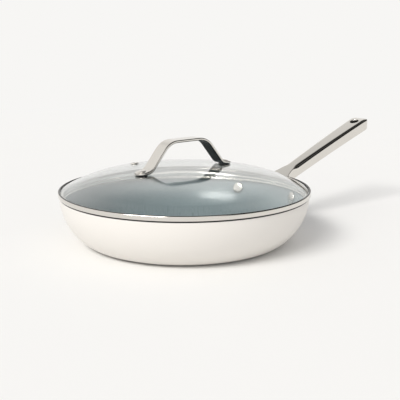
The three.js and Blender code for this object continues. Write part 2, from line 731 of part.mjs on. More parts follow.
// The lid stands on the rim: its zero is the seat of the band.
function lidGroup() {
  const lid = new THREE.Group();
  lid.position.z = RIM_HEIGHT + SEAT_GAP;
  lid.add(
    mesh('lid_glass', lidGlass(), finish.glass),
    mesh('lid_rim_band', lidRimBand(), finish.polished),
    mesh('lid_handle', lidHandle(), finish.polished),
    lidFixing(0, 'near'),
    lidFixing(Math.PI, 'far'),
    steamVent(),
  );
  return lid;
}

const fryingPan = new THREE.Group();
fryingPan.name = 'frying_pan_with_lid';
fryingPan.add(panGroup(), lidGroup());

export default fryingPan;
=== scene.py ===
"""Dressed model of a covered frying pan: smooth surfaces, finishes, studio and camera.

All sizes are in millimetres in the part's frame: +Z up, origin under the middle of the
pan, +X along the long handle. Meshes are turned into metres when they are laid.
"""

import logging
import math
from collections.abc import Callable
from dataclasses import dataclass, field
from enum import Enum

import bmesh
import bpy
import numpy as np
from mathutils import Euler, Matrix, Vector

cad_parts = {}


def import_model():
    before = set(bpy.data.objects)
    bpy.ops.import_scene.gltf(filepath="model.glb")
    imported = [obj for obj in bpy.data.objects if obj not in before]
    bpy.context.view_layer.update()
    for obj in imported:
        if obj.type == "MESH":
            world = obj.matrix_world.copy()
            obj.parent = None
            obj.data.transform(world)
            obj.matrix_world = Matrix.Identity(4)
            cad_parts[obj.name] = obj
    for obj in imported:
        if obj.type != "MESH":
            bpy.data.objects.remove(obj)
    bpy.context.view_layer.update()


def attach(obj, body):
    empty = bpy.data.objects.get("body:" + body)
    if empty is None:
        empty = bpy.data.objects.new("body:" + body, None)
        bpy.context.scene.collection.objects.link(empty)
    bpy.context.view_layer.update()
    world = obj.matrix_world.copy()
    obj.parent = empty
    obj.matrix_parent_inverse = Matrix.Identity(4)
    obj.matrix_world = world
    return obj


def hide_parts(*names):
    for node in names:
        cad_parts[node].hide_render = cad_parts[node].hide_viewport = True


LOG = logging.getLogger("covered_pan")
MM = 0.001
SEAT_GAP = 0.3
QUARTER = math.pi / 2

# Meshing: weld distance in metres, crease angle, steps of full turns, points of runs
WELD = 2e-6
CREASE_DEG = 38.0
WIDE_TURN, PLATE_TURN, FLOOR_TURN, SMALL_TURN = 256, 192, 96, 48
FACE_STEPS, EDGE_POINTS, HEM_POINTS, LIP_POINTS = 6, 7, 5, 9
CORNER_POINTS, FLANK_POINTS, FLOOR_POINTS, POCKET_POINTS = 20, 36, 14, 8
FLARE_POINTS, SPAN_POINTS, HOLE_SPAN_POINTS, TIP_POINTS = 26, 64, 14, 25
TOP_STEPS, BORE_POINTS = 8, 6
CURVE_POINTS, LOBE_POINTS, LEVEL_POINTS, WAIST_POINTS = 17, 33, 13, 7
DOME_POINTS, ROLL_STEPS, RING_STEPS, SKIRT_STEPS = 72, 6, 4, 40
STRAP_POINTS, STRAP_END_POINTS, BEND_STEPS = 90, 25, 24

# Small amounts that settle ties, and how fast an edge turns to the underside and its painted shade
TINY, HAIR, SLACK = 1e-9, 1e-6, 0.01
UNDER_RATE = 3.0

# Marks of the pan's coat, the lip's mark standing for painted shade, and the detail of noises
OUTSIDE, PAINTED_SHADE_LIP, INSIDE = 0.0, 0.5, 1.0
FINE_DETAIL, BROAD_DETAIL = 3.0, 2.0

Array = np.ndarray
Bend = Callable[[Array, Array, Array], Array]
Pair = tuple[float, float]
Triple = tuple[float, float, float]
Colour = tuple[float, float, float, float]
Piece = bpy.types.Object
Material = bpy.types.Material
Node = bpy.types.Node
Socket = bpy.types.NodeSocket


class Body(Enum):
    """The two bodies that pieces ride on."""

    PAN = "pan"
    LID = "lid"


class Slot(Enum):
    """Material slots of the record."""

    COAT = "coated_body"
    PLATE = "plate_steel"
    POLISHED = "polished_steel"
    RIVET = "rivet_steel"
    GLASS = "lid_glass"
    SEAL = "seal"


class Lay(Enum):
    """How the polishing lines run over a steel piece, by the group that draws them."""

    ALONG_X = "straight_polish"
    ROUND_Z = "turned_polish"


# Surfaces


def quads(rows: int, cols: int, wrap_rows: bool, wrap_cols: bool) -> Array:
    """Corner numbers of the cells of a grid.

    Args:
        rows: Points down the grid.
        cols: Points across the grid.
        wrap_rows: Whether the last row joins the first.
        wrap_cols: Whether the last column joins the first.

    Returns:
        An array of four corner numbers for each cell.
    """
    r = np.arange(rows if wrap_rows else rows - 1)[:, None]
    c = np.arange(cols if wrap_cols else cols - 1)[None, :]
    below = (r + 1) % rows
    beside = (c + 1) % cols
    corners = [r * cols + c, r * cols + beside, below * cols + beside, below * cols + c]
    return np.stack(np.broadcast_arrays(*corners), axis=-1).reshape(-1, 4)


@dataclass
class Skin:
    """Points and cells that make up one or more shells, with a mark for the finish."""

    mark: str = ""
    points: list[Array] = field(default_factory=list)
    marks: list[Array] = field(default_factory=list)
    cells: list[Array] = field(default_factory=list)
    caps: list[Array] = field(default_factory=list)
    count: int = 0

    def grid(
        self, points: Array, wrap_rows: bool = False, wrap_cols: bool = False, marks: Array | float = 0.0
    ) -> int:
        """Adds a grid of points with its cells.

        Args:
            points: Rows by columns by three.
            wrap_rows: Whether the last row joins the first.
            wrap_cols: Whether the last column joins the first.
            marks: The mark of each row, or of all.

        Returns:
            The number of the grid's first point.
        """
        rows, cols = points.shape[:2]
        first = self.count
        self.points.append(points.reshape(-1, 3))
        self.marks.append(np.repeat(np.broadcast_to(np.asarray(marks, float), rows), cols))
        self.cells.append(quads(rows, cols, wrap_rows, wrap_cols) + first)
        self.count += rows * cols
        return first

    def cap(self, ring: Array) -> None:
        """Closes an open ring of point numbers with one face."""
        self.caps.append(ring)

    def lay(self, name: str) -> Piece:
        """Makes the mesh object: welded, outward and smooth.

        Args:
            name: The piece's name.

        Returns:
            The new object, at the origin.
        """
        mesh = bpy.data.meshes.new(name)
        faces = np.concatenate(self.cells).tolist() + [ring.tolist() for ring in self.caps]
        mesh.from_pydata((np.concatenate(self.points) * MM).tolist(), [], faces)
        if self.mark:
            layer = mesh.attributes.new(self.mark, "FLOAT", "POINT")
            layer.data.foreach_set("value", np.concatenate(self.marks).astype(np.float32))
        work = bmesh.new()
        work.from_mesh(mesh)
        bmesh.ops.remove_doubles(work, verts=work.verts, dist=WELD)
        bmesh.ops.dissolve_degenerate(work, edges=work.edges, dist=WELD / 4)
        bmesh.ops.recalc_face_normals(work, faces=work.faces)
        work.to_mesh(mesh)
        work.free()
        mesh.polygons.foreach_set("use_smooth", np.ones(len(mesh.polygons), bool))
        mesh.set_sharp_from_angle(angle=math.radians(CREASE_DEG))
        piece = bpy.data.objects.new(name, mesh)
        bpy.context.scene.collection.objects.link(piece)
        return piece


def smooth(value: Array, start: float, stop: float) -> Array:
    """Smooth step of a value, 0 up to the start and 1 from the stop: 3 u^2 - 2 u^3."""
    u = np.clip((value - start) / (stop - start), 0, 1)
    return u * u * (3 - 2 * u)


def unit(ways: Array) -> Array:
    """Rows of vectors, each brought to unit length."""
    return ways / np.linalg.norm(ways, axis=1, keepdims=True)


def fillets(before: Array, spots: Array, after: Array, radii: Array, steps: int) -> Array:
    """Arcs that round corners, each tangent to both sides of its corner.

    Each centre lies on the bisector, at radius / sin(half the corner's angle), and the arc
    is swept between the two tangent points.

    Args:
        before: The point before each corner.
        spots: The corners.
        after: The point after each corner.
        radii: Radius of each arc.
        steps: Steps in each arc.

    Returns:
        The points of all arcs, one arc after the other.
    """
    back, ahead = unit(before - spots), unit(after - spots)
    half = np.arccos(np.clip((back * ahead).sum(1), -1, 1)) / 2
    centre = spots + unit(back + ahead) * (radii / np.sin(half))[:, None]
    reach = (radii / np.tan(half))[:, None]
    start, end = spots + back * reach - centre, spots + ahead * reach - centre
    u = np.linspace(0, 1, steps + 1)[None, :, None]
    swept = (np.pi - 2 * half)[:, None, None]
    round_off = np.sin((1 - u) * swept) * start[:, None] + np.sin(u * swept) * end[:, None]
    return (centre[:, None] + round_off / np.maximum(np.sin(swept), TINY)).reshape(-1, 2)


def rounded(corners: list[Pair], radii: tuple[float, ...] | float, steps: int) -> Array:
    """A closed outline whose corners are rounded by arcs.

    Args:
        corners: The corners in order.
        radii: Radius of each arc, or of all.
        steps: Steps in each arc.

    Returns:
        The points of the outline.
    """
    spots = np.array(corners, float)
    before, after = np.roll(spots, 1, axis=0), np.roll(spots, -1, axis=0)
    return fillets(before, spots, after, np.broadcast_to(radii, len(spots)), steps)


def arc(centre: Pair, radius: float, start: float, stop: float, points: int) -> Array:
    """Points of an arc: centre + radius (cos t, sin t), t running from start to stop in radians."""
    t = np.linspace(start, stop, points)
    return np.array(centre) + radius * np.stack([np.cos(t), np.sin(t)], axis=1)


def turned(profile: Array, segments: int) -> Array:
    """A profile of (radius, height) carried round the Z axis.

    A point at angle a is (radius cos a, radius sin a, height).

    Args:
        profile: Radius and height of each point.
        segments: Steps in the full turn.

    Returns:
        A grid of points, one row for each profile point.
    """
    a = np.linspace(0, 2 * np.pi, segments, endpoint=False)[None, :]
    r, z = profile[:, :1], profile[:, 1:]
    return np.stack([r * np.cos(a), r * np.sin(a), z + 0 * a], axis=-1)


def placed(points: Array, frame: Array) -> Array:
    """Moves points by a 4 by 4 frame."""
    return points @ frame[:3, :3].T + frame[:3, 3]


def station(radius: float, height: float, tilt: float, azimuth: float) -> Array:
    """A frame whose Z axis leans by a tilt away from upright, towards an azimuth.

    Args:
        radius: Distance of the frame from the Z axis.
        height: Height of the frame.
        tilt: Lean in radians.
        azimuth: Direction of the lean in radians.

    Returns:
        A 4 by 4 frame: a turn about Z after a turn about Y.
    """
    c, s = math.cos(azimuth), math.sin(azimuth)
    ct, st = math.cos(tilt), math.sin(tilt)
    frame = np.eye(4)
    frame[:3, 0] = (c * ct, s * ct, -st)
    frame[:3, 1] = (-s, c, 0)
    frame[:3, 2] = (c * st, s * st, ct)
    frame[:3, 3] = (radius * c, radius * s, height)
    return frame


def spun(
    name: str, profile: Array, segments: int, frame: Array | None = None, closed: bool = False,
    mark: str = "", marks: Array | float = 0.0,
) -> Piece:
    """Turns a profile round Z, stands it in a frame and lays it.

    Args:
        name: The piece's name.
        profile: Radius and height of each point.
        segments: Steps in the full turn.
        frame: Where it stands, at the origin unless given.
        closed: Whether the profile's last point joins its first.
        mark: Name of the mark for the finish, if there is one.
        marks: The mark of each profile point, or of all.

    Returns:
        The new object.
    """
    points = turned(profile, segments)
    skin = Skin(mark)
    skin.grid(points if frame is None else placed(points, frame), closed, True, marks)
    return skin.lay(name)


def dome(
    radius: float, base: float, height: float, edge: float, fullness: float = 2.0, steps: int = 14
) -> Array:
    """Half section of a rivet's end, from its pole to the foot of its edge.

    A quarter of a superellipse, with a flatter crown for a greater fullness, stands on a
    short upright edge.

    Args:
        radius: Radius of the end.
        base: Height of its foot.
        height: Height of the ellipse, downwards if negative.
        edge: Height of the upright edge.
        fullness: Power of the curve, 2 for an ellipse.
        steps: Steps in the quarter.

    Returns:
        Radius and height of each point.
    """
    a = np.linspace(QUARTER, 0, steps + 1)
    up = math.copysign(edge, height)
    share = 2 / fullness
    rise = base + up + (height - up) * np.sin(a) ** share
    return np.concatenate([np.stack([radius * np.cos(a) ** share, rise], axis=1), [[radius, base]]])


def spread(start: Array, end: Array, steps: int) -> Array:
    """Even steps from one row of points to another, as rows."""
    u = np.linspace(0, 1, steps + 1)[:, None, None]
    return start[None] * (1 - u) + end[None] * u


def both_sides(half: Array) -> Array:
    """A grid that ends in the plane Y = 0, joined there to its mirror image."""
    return np.concatenate([half, half[:, -2::-1] * np.array([1.0, -1.0, 1.0])], axis=1)


def plate(
    outline: Array, spine: Array, thick: float, edge: float, base: float, bend: Bend
) -> tuple[Array, Array]:
    """A closed plate with rounded edges, laid over a bent surface.

    Rows run from the spine over the upper face to the outline, round the edge and back
    under the plate. The edge is two quarter circles with an upright strip between them.

    Args:
        outline: The plate's outline, in flat coordinates.
        spine: A point inside the plate for each outline point.
        thick: Thickness.
        edge: Radius of both edges.
        base: Height of the lower face.
        bend: Puts flat coordinates and a height on the bent surface.

    Returns:
        A grid of points that wraps across, and how far each row lies on the underside.
    """
    along = unit(np.roll(outline, -1, axis=0) - np.roll(outline, 1, axis=0))
    inward = np.stack([-along[:, 1], along[:, 0]], axis=1)
    inward *= math.copysign(1.0, ((spine - outline) * inward).sum(1).mean())
    a = np.linspace(0, QUARTER, EDGE_POINTS)
    inset = edge * np.concatenate([1 - np.sin(a), 1 - np.cos(a)])
    rim = outline[None] + inset[:, None, None] * inward[None]
    upper, lower = spread(spine, rim[0], FACE_STEPS)[:-1], spread(rim[-1], spine, FACE_STEPS)[1:]
    flat = np.concatenate([upper, rim, lower])
    height = np.concatenate([thick - edge + edge * np.cos(a), edge - edge * np.sin(a)])
    rise = base + np.concatenate([np.full(FACE_STEPS, thick), height, np.zeros(FACE_STEPS)])
    # The underside share is the mark that paints shade on a plate's underside and lower edge.
    turning = np.clip(np.linspace(0, UNDER_RATE, EDGE_POINTS), 0, 1)
    under = np.concatenate([np.zeros(FACE_STEPS + EDGE_POINTS), turning, np.ones(FACE_STEPS)])
    return bend(flat[..., 0], flat[..., 1], np.broadcast_to(rise[:, None], flat.shape[:2])), under


# Finishes


class Board:
    """Puts down and links the nodes of one shader tree."""

    def __init__(self, tree: bpy.types.NodeTree) -> None:
        """Keeps the tree."""
        self.tree = tree

    def put(self, kind: str, sockets: dict | None = None, **settings: object) -> Node:
        """Adds a node.

        Args:
            kind: The node's type name without its prefix.
            sockets: Values or output sockets for the node's inputs, by name or number.
            settings: Other properties of the node.

        Returns:
            The new node.
        """
        node = self.tree.nodes.new("ShaderNode" + kind)
        for key, value in settings.items():
            setattr(node, key, value)
        for key, value in (sockets or {}).items():
            if isinstance(value, Socket):
                self.tree.links.new(value, node.inputs[key])
            else:
                node.inputs[key].default_value = value
        return node

    def at(self) -> Socket:
        """Object coordinates."""
        return self.put("TexCoord").outputs["Object"]

    def mark(self, name: str) -> Socket:
        """The mark that a skin's points carry."""
        return self.put("Attribute", attribute_name=name).outputs["Fac"]

    def group(self, name: str, **values: float) -> Node:
        """Places a shared node group with its own values."""
        return self.put("Group", values, node_tree=bpy.data.node_groups[name])

    def grain(self, fine: float, broad: float) -> Node:
        """Places the grain group at a fine and a broad scale."""
        return self.group("coat_grain", Fine=fine, Broad=broad)

    def maths(self, operation: str, a: object, b: object = 0.0) -> Socket:
        """One step of arithmetic on two values or sockets."""
        return self.put("Math", {0: a, 1: b}, operation=operation).outputs[0]

    def vector(self, operation: str, *values: object) -> Node:
        """One step of arithmetic on vectors."""
        return self.put("VectorMath", dict(enumerate(values)), operation=operation)

    def noise(self, spot: Socket, scale: object, detail: float) -> Socket:
        """Noise at a spot, at a scale."""
        return self.put("TexNoise", {"Vector": spot, "Scale": scale, "Detail": detail}).outputs["Fac"]

    def span(self, value: Socket, low: float, high: float) -> Socket:
        """Maps a value from 0 to 1 onto a range."""
        return self.put("MapRange", {"Value": value, "To Min": low, "To Max": high}).outputs[0]

    def step(self, value: Socket, low: float, high: float) -> Socket:
        """Smooth step of a value, 0 below the low limit and 1 above the high one."""
        limits = {"Value": value, "From Min": low, "From Max": high}
        return self.put("MapRange", limits, interpolation_type="SMOOTHSTEP").outputs[0]

    def blend(self, share: object, a: object, b: object) -> Socket:
        """Mixes two colours by a share."""
        return self.put("Mix", {0: share, 6: a, 7: b}, data_type="RGBA").outputs[2]

    def bump(self, height: Socket, strength: float, deep: float) -> Socket:
        """Normal of a surface roughened by a height, over a depth in metres."""
        return self.put("Bump", {"Height": height, "Strength": strength, "Distance": deep}).outputs[0]

    def give(self, **values: Socket) -> None:
        """Makes the outputs of a group, all plain values, and links a value to each.

        Args:
            values: The socket to link, by the output's name.
        """
        for label in values:
            self.tree.interface.new_socket(label, in_out="OUTPUT", socket_type="NodeSocketFloat")
        taken = self.tree.nodes.new("NodeGroupOutput").inputs
        for label, value in values.items():
            self.tree.links.new(value, taken[label])

    def show(self, shader: Node, kind: str = "OutputMaterial") -> None:
        """Links a shader to the tree's output."""
        self.put(kind, {"Surface": shader.outputs[0]})


def new_group(name: str, inputs: dict[str, float | tuple[float, ...]]) -> tuple[Board, Node]:
    """A shader node group without outputs.

    Args:
        name: The group's name.
        inputs: Default of each input, a number or a vector.

    Returns:
        A board on the group's tree, and its input node.
    """
    tree = bpy.data.node_groups.new(name, "ShaderNodeTree")
    for label, value in inputs.items():
        kind = "NodeSocketFloat" if isinstance(value, float) else "NodeSocketVector"
        tree.interface.new_socket(label, in_out="INPUT", socket_type=kind).default_value = value
    return Board(tree), tree.nodes.new("NodeGroupInput")


def grain_group() -> None:
    """Makes the unevenness of a coating: two noises, one small and one wide."""
    board, given = new_group("coat_grain", {"Fine": 900.0, "Broad": 9.0})
    at = board.at()
    fleck = board.noise(at, given.outputs["Fine"], FINE_DETAIL)
    board.give(Fleck=fleck, Drift=board.noise(at, given.outputs["Broad"], BROAD_DETAIL))


def give_lines(board: Board, spot: Node, drift_scale: float = 22.0) -> None:
    """Gives a polish its fine lines, a noise at a drawn-out spot, and its broad drift."""
    line = board.noise(spot.outputs[0], 1.0, FINE_DETAIL)
    board.give(Line=line, Drift=board.noise(board.at(), drift_scale, BROAD_DETAIL))


def straight_group() -> None:
    """Makes polishing lines along X: a noise drawn out along that axis."""
    board, given = new_group(Lay.ALONG_X.value, {"Stretch": (6.0, 900.0, 900.0)})
    give_lines(board, board.put("Mapping", {"Vector": board.at(), "Scale": given.outputs["Stretch"]}))


def turned_group() -> None:
    """Makes polishing lines round Z: a noise of the radius and of the direction from the axis."""
    board, given = new_group(Lay.ROUND_Z.value, {"Pitch": 1100.0, "Arc": 5.0})
    at = board.at()
    level = board.vector("MULTIPLY", at, (1.0, 1.0, 0.0)).outputs[0]
    away = board.vector("LENGTH", level).outputs["Value"]
    facing = board.vector("NORMALIZE", level).outputs[0]
    swing = {0: facing, "Scale": given.outputs["Arc"]}
    facing = board.put("VectorMath", swing, operation="SCALE").outputs[0]
    east, north, _ = board.put("SeparateXYZ", {0: facing}).outputs
    height = board.put("SeparateXYZ", {0: at}).outputs["Z"]
    ring = board.maths("MULTIPLY", board.maths("ADD", away, height), given.outputs["Pitch"])
    give_lines(board, board.put("CombineXYZ", {0: ring, 1: east, 2: north}))


def fresh_material(name: str) -> tuple[Material, Board]:
    """A new material with an empty tree.

    Args:
        name: The material's name.

    Returns:
        The material, and a board on its tree.
    """
    material = bpy.data.materials.new(name)
    material.use_nodes = True
    material.node_tree.nodes.clear()
    return material, Board(material.node_tree)


@dataclass(frozen=True)
class CoatFinish:
    """Glazed coat of the pan: pale outside, a nearly black lip painted as shade under the band, slate
    lining, told by a mark.
    """

    outside: Colour = (0.765, 0.738, 0.70, 1.0)
    outside_warm: Colour = (0.78, 0.748, 0.705, 1.0)
    # Nearly black lip: painted shade for the gap under the lid's band.
    rim: Colour = (0.012, 0.013, 0.014, 1.0)
    lining: Colour = (0.21, 0.255, 0.268, 1.0)
    lining_light: Colour = (0.24, 0.285, 0.298, 1.0)
    lining_flecks: Pair = (-0.4, 1.4)
    outside_gloss: Pair = (0.36, 0.44)
    lining_gloss: Pair = (0.25, 0.31)
    peel: float = 0.05
    peel_deep: float = 0.0002
    ior: float = 1.5

    def make(self) -> Material:
        """Builds the material.

        Returns:
            The new material.
        """
        material, board = fresh_material("pan_coat")
        fleck, drift = board.group("coat_grain").outputs
        mark = board.mark("lining")
        inside = board.maths("GREATER_THAN", mark, (PAINTED_SHADE_LIP + INSIDE) / 2)
        # The lip's mark paints it nearly black: painted shade under the band.
        edge = board.maths("GREATER_THAN", mark, (OUTSIDE + PAINTED_SHADE_LIP) / 2)
        pale = board.blend(edge, board.blend(drift, self.outside, self.outside_warm), self.rim)
        slate = board.blend(board.span(fleck, *self.lining_flecks), self.lining, self.lining_light)
        gloss = {2: board.span(drift, *self.outside_gloss), 3: board.span(fleck, *self.lining_gloss)}
        board.show(board.put("BsdfPrincipled", {
            "Base Color": board.blend(inside, pale, slate),
            "Roughness": board.put("Mix", {0: inside, **gloss}, data_type="FLOAT").outputs[0],
            "Normal": board.bump(fleck, self.peel, self.peel_deep),
            "IOR": self.ior,
        }))
        return material


@dataclass(frozen=True)
class SteelFinish:
    """Bare steel with polishing lines, painted nearly black where a mark says so: painted shade and painted
    reflection.
    """

    name: str
    lay: Lay
    colour: Colour = (0.72, 0.69, 0.645, 1.0)
    pale: Colour = (0.76, 0.735, 0.69, 1.0)
    gloss: Pair = (0.10, 0.17)
    score: float = 0.03
    score_deep: float = 0.0001
    pitch: float = 1100.0
    # Nearly black paint where the mark is set, for painted shade and painted reflection, and its roughness.
    shade_and_reflection: Colour | None = None
    shade_and_reflection_gloss: float = 0.42

    def make(self) -> Material:
        """Builds the material.

        Returns:
            The new material.
        """
        material, board = fresh_material(self.name)
        values = {"Pitch": self.pitch} if self.lay is Lay.ROUND_Z else {}
        line, drift = board.group(self.lay.value, **values).outputs
        colour = board.blend(drift, self.colour, self.pale)
        satin = board.span(line, *self.gloss)
        if self.shade_and_reflection:
            # The mark blends in painted shade and painted dark reflection.
            share = board.mark("shade_and_reflection")
            colour = board.blend(share, colour, self.shade_and_reflection)
            dull = board.maths("MULTIPLY", share, self.shade_and_reflection_gloss - self.gloss[1])
            satin = board.maths("ADD", satin, dull)
        board.show(board.put("BsdfPrincipled", {
            "Base Color": colour,
            "Roughness": satin,
            "Normal": board.bump(line, self.score, self.score_deep),
            "Metallic": 1.0,
        }))
        return material


@dataclass(frozen=True)
class GlassFinish:
    """Clear tempered glass that lets lamplight through to the pan."""

    colour: Colour = (0.985, 0.998, 0.995, 1.0)
    gloss: Pair = (0.0, 0.02)
    waves: Pair = (60.0, 14.0)
    ior: float = 1.5

    def make(self) -> Material:
        """Builds the material: glass, and clear to shadow and diffuse rays.

        Returns:
            The new material.
        """
        material, board = fresh_material("tempered_glass")
        grain = board.grain(*self.waves)
        face = board.put("BsdfPrincipled", {
            "Base Color": self.colour,
            "Roughness": board.span(grain.outputs["Drift"], *self.gloss),
            "IOR": self.ior,
            "Transmission Weight": 1.0,
        })
        clear = board.put("BsdfTransparent", {"Color": self.colour})
        path = board.put("LightPath").outputs
        passing = board.maths("MAXIMUM", path["Is Shadow Ray"], path["Is Diffuse Ray"])
        board.show(board.put("MixShader", {0: passing, 1: face.outputs[0], 2: clear.outputs[0]}))
        return material


@dataclass(frozen=True)
class SealFinish:
    """Silicone of the washers, dark unless said otherwise."""

    name: str = "dark_silicone"
    colour: Colour = (0.022, 0.023, 0.024, 1.0)
    worn: Colour = (0.04, 0.041, 0.042, 1.0)
    gloss: Pair = (0.5, 0.7)
    grain: Pair = (1600.0, 90.0)
    tooth: float = 0.1
    tooth_deep: float = 0.0002

    def make(self) -> Material:
        """Builds the material.

        Returns:
            The new material.
        """
        material, board = fresh_material(self.name)
        fleck, drift = board.grain(*self.grain).outputs
        board.show(board.put("BsdfPrincipled", {
            "Base Color": board.blend(drift, self.colour, self.worn),
            "Roughness": board.span(fleck, *self.gloss),
            "Normal": board.bump(fleck, self.tooth, self.tooth_deep),
        }))
        return material


@dataclass
class Finishes:
    """All finishes of the pan and its lid, made once."""

    coat: Material
    handle: Material
    band: Material
    rivet: Material
    plate: Material
    glass: Material
    seal: Material
    pale_seal: Material

    @classmethod
    def make(cls) -> "Finishes":
        """Builds the shared groups and every material.

        Returns:
            The finishes.
        """
        grain_group()
        straight_group()
        turned_group()
        # Nearly black colour for painted shade and painted dark reflection on steel.
        shade_and_reflection = (0.045, 0.044, 0.043, 1.0)
        looks = {
            "coat": CoatFinish(),
            "handle": SteelFinish("polished_steel", Lay.ALONG_X, shade_and_reflection=shade_and_reflection),
            "band": SteelFinish("band_steel", Lay.ROUND_Z, gloss=(0.10, 0.18), shade_and_reflection=shade_and_reflection, shade_and_reflection_gloss=0.28),
            "rivet": SteelFinish("rivet_steel", Lay.ALONG_X, gloss=(0.16, 0.26)),
            "plate": SteelFinish(
                "plate_steel", Lay.ROUND_Z, (0.55, 0.54, 0.525, 1.0), (0.62, 0.61, 0.595, 1.0),
                gloss=(0.26, 0.40), score=0.12, pitch=700.0,
            ),
            "glass": GlassFinish(),
            "seal": SealFinish(),
            "pale_seal": SealFinish("pale_silicone", (0.70, 0.70, 0.68, 1.0), (0.64, 0.64, 0.62, 1.0)),
        }
        return cls(**{name: look.make() for name, look in looks.items()})


def dress(piece: Piece, finish: Material, body: Body, slot: Slot, *nodes: str) -> None:
    """Gives a piece its finish and body, and hides the nodes it stands for.

    Args:
        piece: The new object.
        finish: Its material.
        body: The body it rides on.
        slot: The record's material slot; not used.
        nodes: Nodes of the frame that it replaces.
    """
    piece.data.materials.append(finish)
    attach(piece, body.value)
    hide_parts(*nodes)
    LOG.info("%s: %d faces, on %s", piece.name, len(piece.data.polygons), body.value)


def even_normals(piece: Piece) -> None:
    """Keeps large flat faces flat beside their rounded edges."""
    modifier = piece.modifiers.new("even_normals", "WEIGHTED_NORMAL")
    modifier.keep_sharp = True


# Pan


@dataclass
class Pan:
    """Pressed pan with its base plate: a corner arc off the floor, then a fuller flank."""

    rim_radius: float = 151.0
    rim_height: float = 59.0
    base_inset: float = 43.5
    corner_radius: float = 30.0
    wall: float = 3.0
    floor: float = 4.4
    lip: float = 1.2
    pocket_ease: float = 0.2
    plate_inset: float = 15.0
    plate_thick: float = 1.6
    plate_proud: float = 0.5
    plate_ease: float = 0.3
    grooves: tuple[float, ...] = (32.0, 54.0, 76.0)
    groove_width: float = 3.0
    groove_depth: float = 0.5

    @property
    def flank_radius(self) -> float:
        """Radius of the flank arc that meets the corner arc and stands upright at the rim.

        Returns:
            The radius, from the right triangle between the centres of both arcs.
        """
        rise = self.rim_height - self.plate_proud
        square = self.base_inset**2 + rise**2 - 2 * rise * self.corner_radius
        return square / (2 * (self.base_inset - self.corner_radius))

    @property
    def flank_centre(self) -> float:
        """Distance of the flank arc's centre from the axis, at rim height."""
        return self.rim_radius - self.flank_radius

    @property
    def plate_radius(self) -> float:
        """Radius of the base plate."""
        return self.rim_radius - self.base_inset - self.plate_inset

    def wall_curve(self, offset: float, floor_z: float, top_z: float) -> Array:
        """Side of the pan moved outwards by an offset.

        The corner arc starts level at the floor. The flank arc, about a centre at rim height,
        takes over where the two touch.

        Args:
            offset: Distance outside the outer face.
            floor_z: Height where the corner arc starts.
            top_z: Height where the flank arc ends.

        Returns:
            Radius and height along both arcs.
        """
        corner = self.corner_radius + offset
        flank = self.flank_radius + offset
        corner_z = floor_z + corner
        fall = self.rim_height - corner_z
        out = math.sqrt((flank - corner) ** 2 - fall**2)
        join = math.atan2(out, fall)
        end = math.acos((self.rim_height - top_z) / flank)
        centre = (self.flank_centre, self.rim_height)
        low = arc((self.flank_centre + out, corner_z), corner, -QUARTER, join - QUARTER, CORNER_POINTS)
        high = arc(centre, flank, join - QUARTER, end - QUARTER, FLANK_POINTS)
        return np.concatenate([low, high[1:]])

    def wall_radius(self, z: Array | float, offset: Array | float) -> Array:
        """Radius of the flank at a height, moved outwards by an offset: a circle about its centre."""
        return self.flank_centre + np.sqrt((self.flank_radius + offset) ** 2 - (self.rim_height - z) ** 2)

    def rivet_frame(self, side: float, spread_deg: float, drop: float) -> Array:
        """Frame of a handle rivet, its Z square to the wall and zero on its outside.

        Args:
            side: 1 for the left rivet, -1 for the right.
            spread_deg: Angle from the handle to the rivet, about the pan's axis.
            drop: How far it lies below the rim.

        Returns:
            A 4 by 4 frame.
        """
        z = self.rim_height - drop
        tilt = QUARTER + math.asin(drop / self.flank_radius)
        return station(float(self.wall_radius(z, 0)), z, tilt, side * math.radians(spread_deg))

    def shell(self) -> Piece:
        """Turns the closed wall section: underside, outside, lip, inside and floor.

        Returns:
            The new object.
        """
        under, inside = self.plate_proud, self.rim_radius - self.wall
        lip, lip_z = self.lip, self.rim_height - self.lip
        pocket, pocket_r = self.plate_thick + SEAT_GAP, self.plate_radius + SEAT_GAP
        floor_z, ease = under + self.floor, self.pocket_ease
        within = self.wall_curve(-self.wall, floor_z, lip_z)[::-1]
        across = np.linspace(within[-1, 0], 0, FLOOR_POINTS)[1:]
        roof = np.linspace(0, pocket_r, POCKET_POINTS)
        runs = [
            (OUTSIDE, np.stack([roof, np.full_like(roof, pocket)], 1)),
            (OUTSIDE, np.array([[pocket_r, under + ease], [pocket_r + ease, under]])),
            (OUTSIDE, self.wall_curve(0, under, lip_z)),
            # The lip's outer round carries the mark for painted shade.
            (PAINTED_SHADE_LIP, arc((self.rim_radius - lip, lip_z), lip, 0, QUARTER, LIP_POINTS)),
            (INSIDE, arc((inside + lip, lip_z), lip, QUARTER, 2 * QUARTER, LIP_POINTS)),
            (INSIDE, within[1:]),
            (INSIDE, np.stack([across, np.full_like(across, floor_z)], 1)),
        ]
        marks = np.concatenate([np.full(len(run), mark) for mark, run in runs])
        section = np.concatenate([run for _, run in runs])
        return spun("pan_shell", section, WIDE_TURN, mark="lining", marks=marks)

    def disc(self) -> Piece:
        """Turns the base plate with its pressed rings.

        The section runs along the underside and over each ring's groove, up the eased edge and
        back along the top.

        Returns:
            The new object.
        """
        radius, ease, top = self.plate_radius, self.plate_ease, self.plate_thick
        half, deep = self.groove_width / 2, self.groove_depth
        rings = [
            (middle + x, z)
            for middle in self.grooves
            for x, z in ((-half, 0), (deep - half, deep), (half - deep, deep), (half, 0))
        ]
        edge = [(radius - ease, 0.0), (radius, ease), (radius, top), (0.0, top)]
        return spun("base_disc", np.array([(0.0, 0.0), *rings, *edge], float), PLATE_TURN)

    def build(self, finishes: Finishes) -> None:
        """Builds and dresses the pan."""
        dress(self.shell(), finishes.coat, Body.PAN, Slot.COAT, "pan_body")
        dress(self.disc(), finishes.plate, Body.PAN, Slot.PLATE, "base_plate")


@dataclass(frozen=True)
class HandlePlan:
    """Plan sizes of the handle: where the flare meets the yoke and the neck, and the tip's round."""

    waist_z: float
    neck: float
    flare_x: float
    meet_x: float
    round_x: float
    round: float


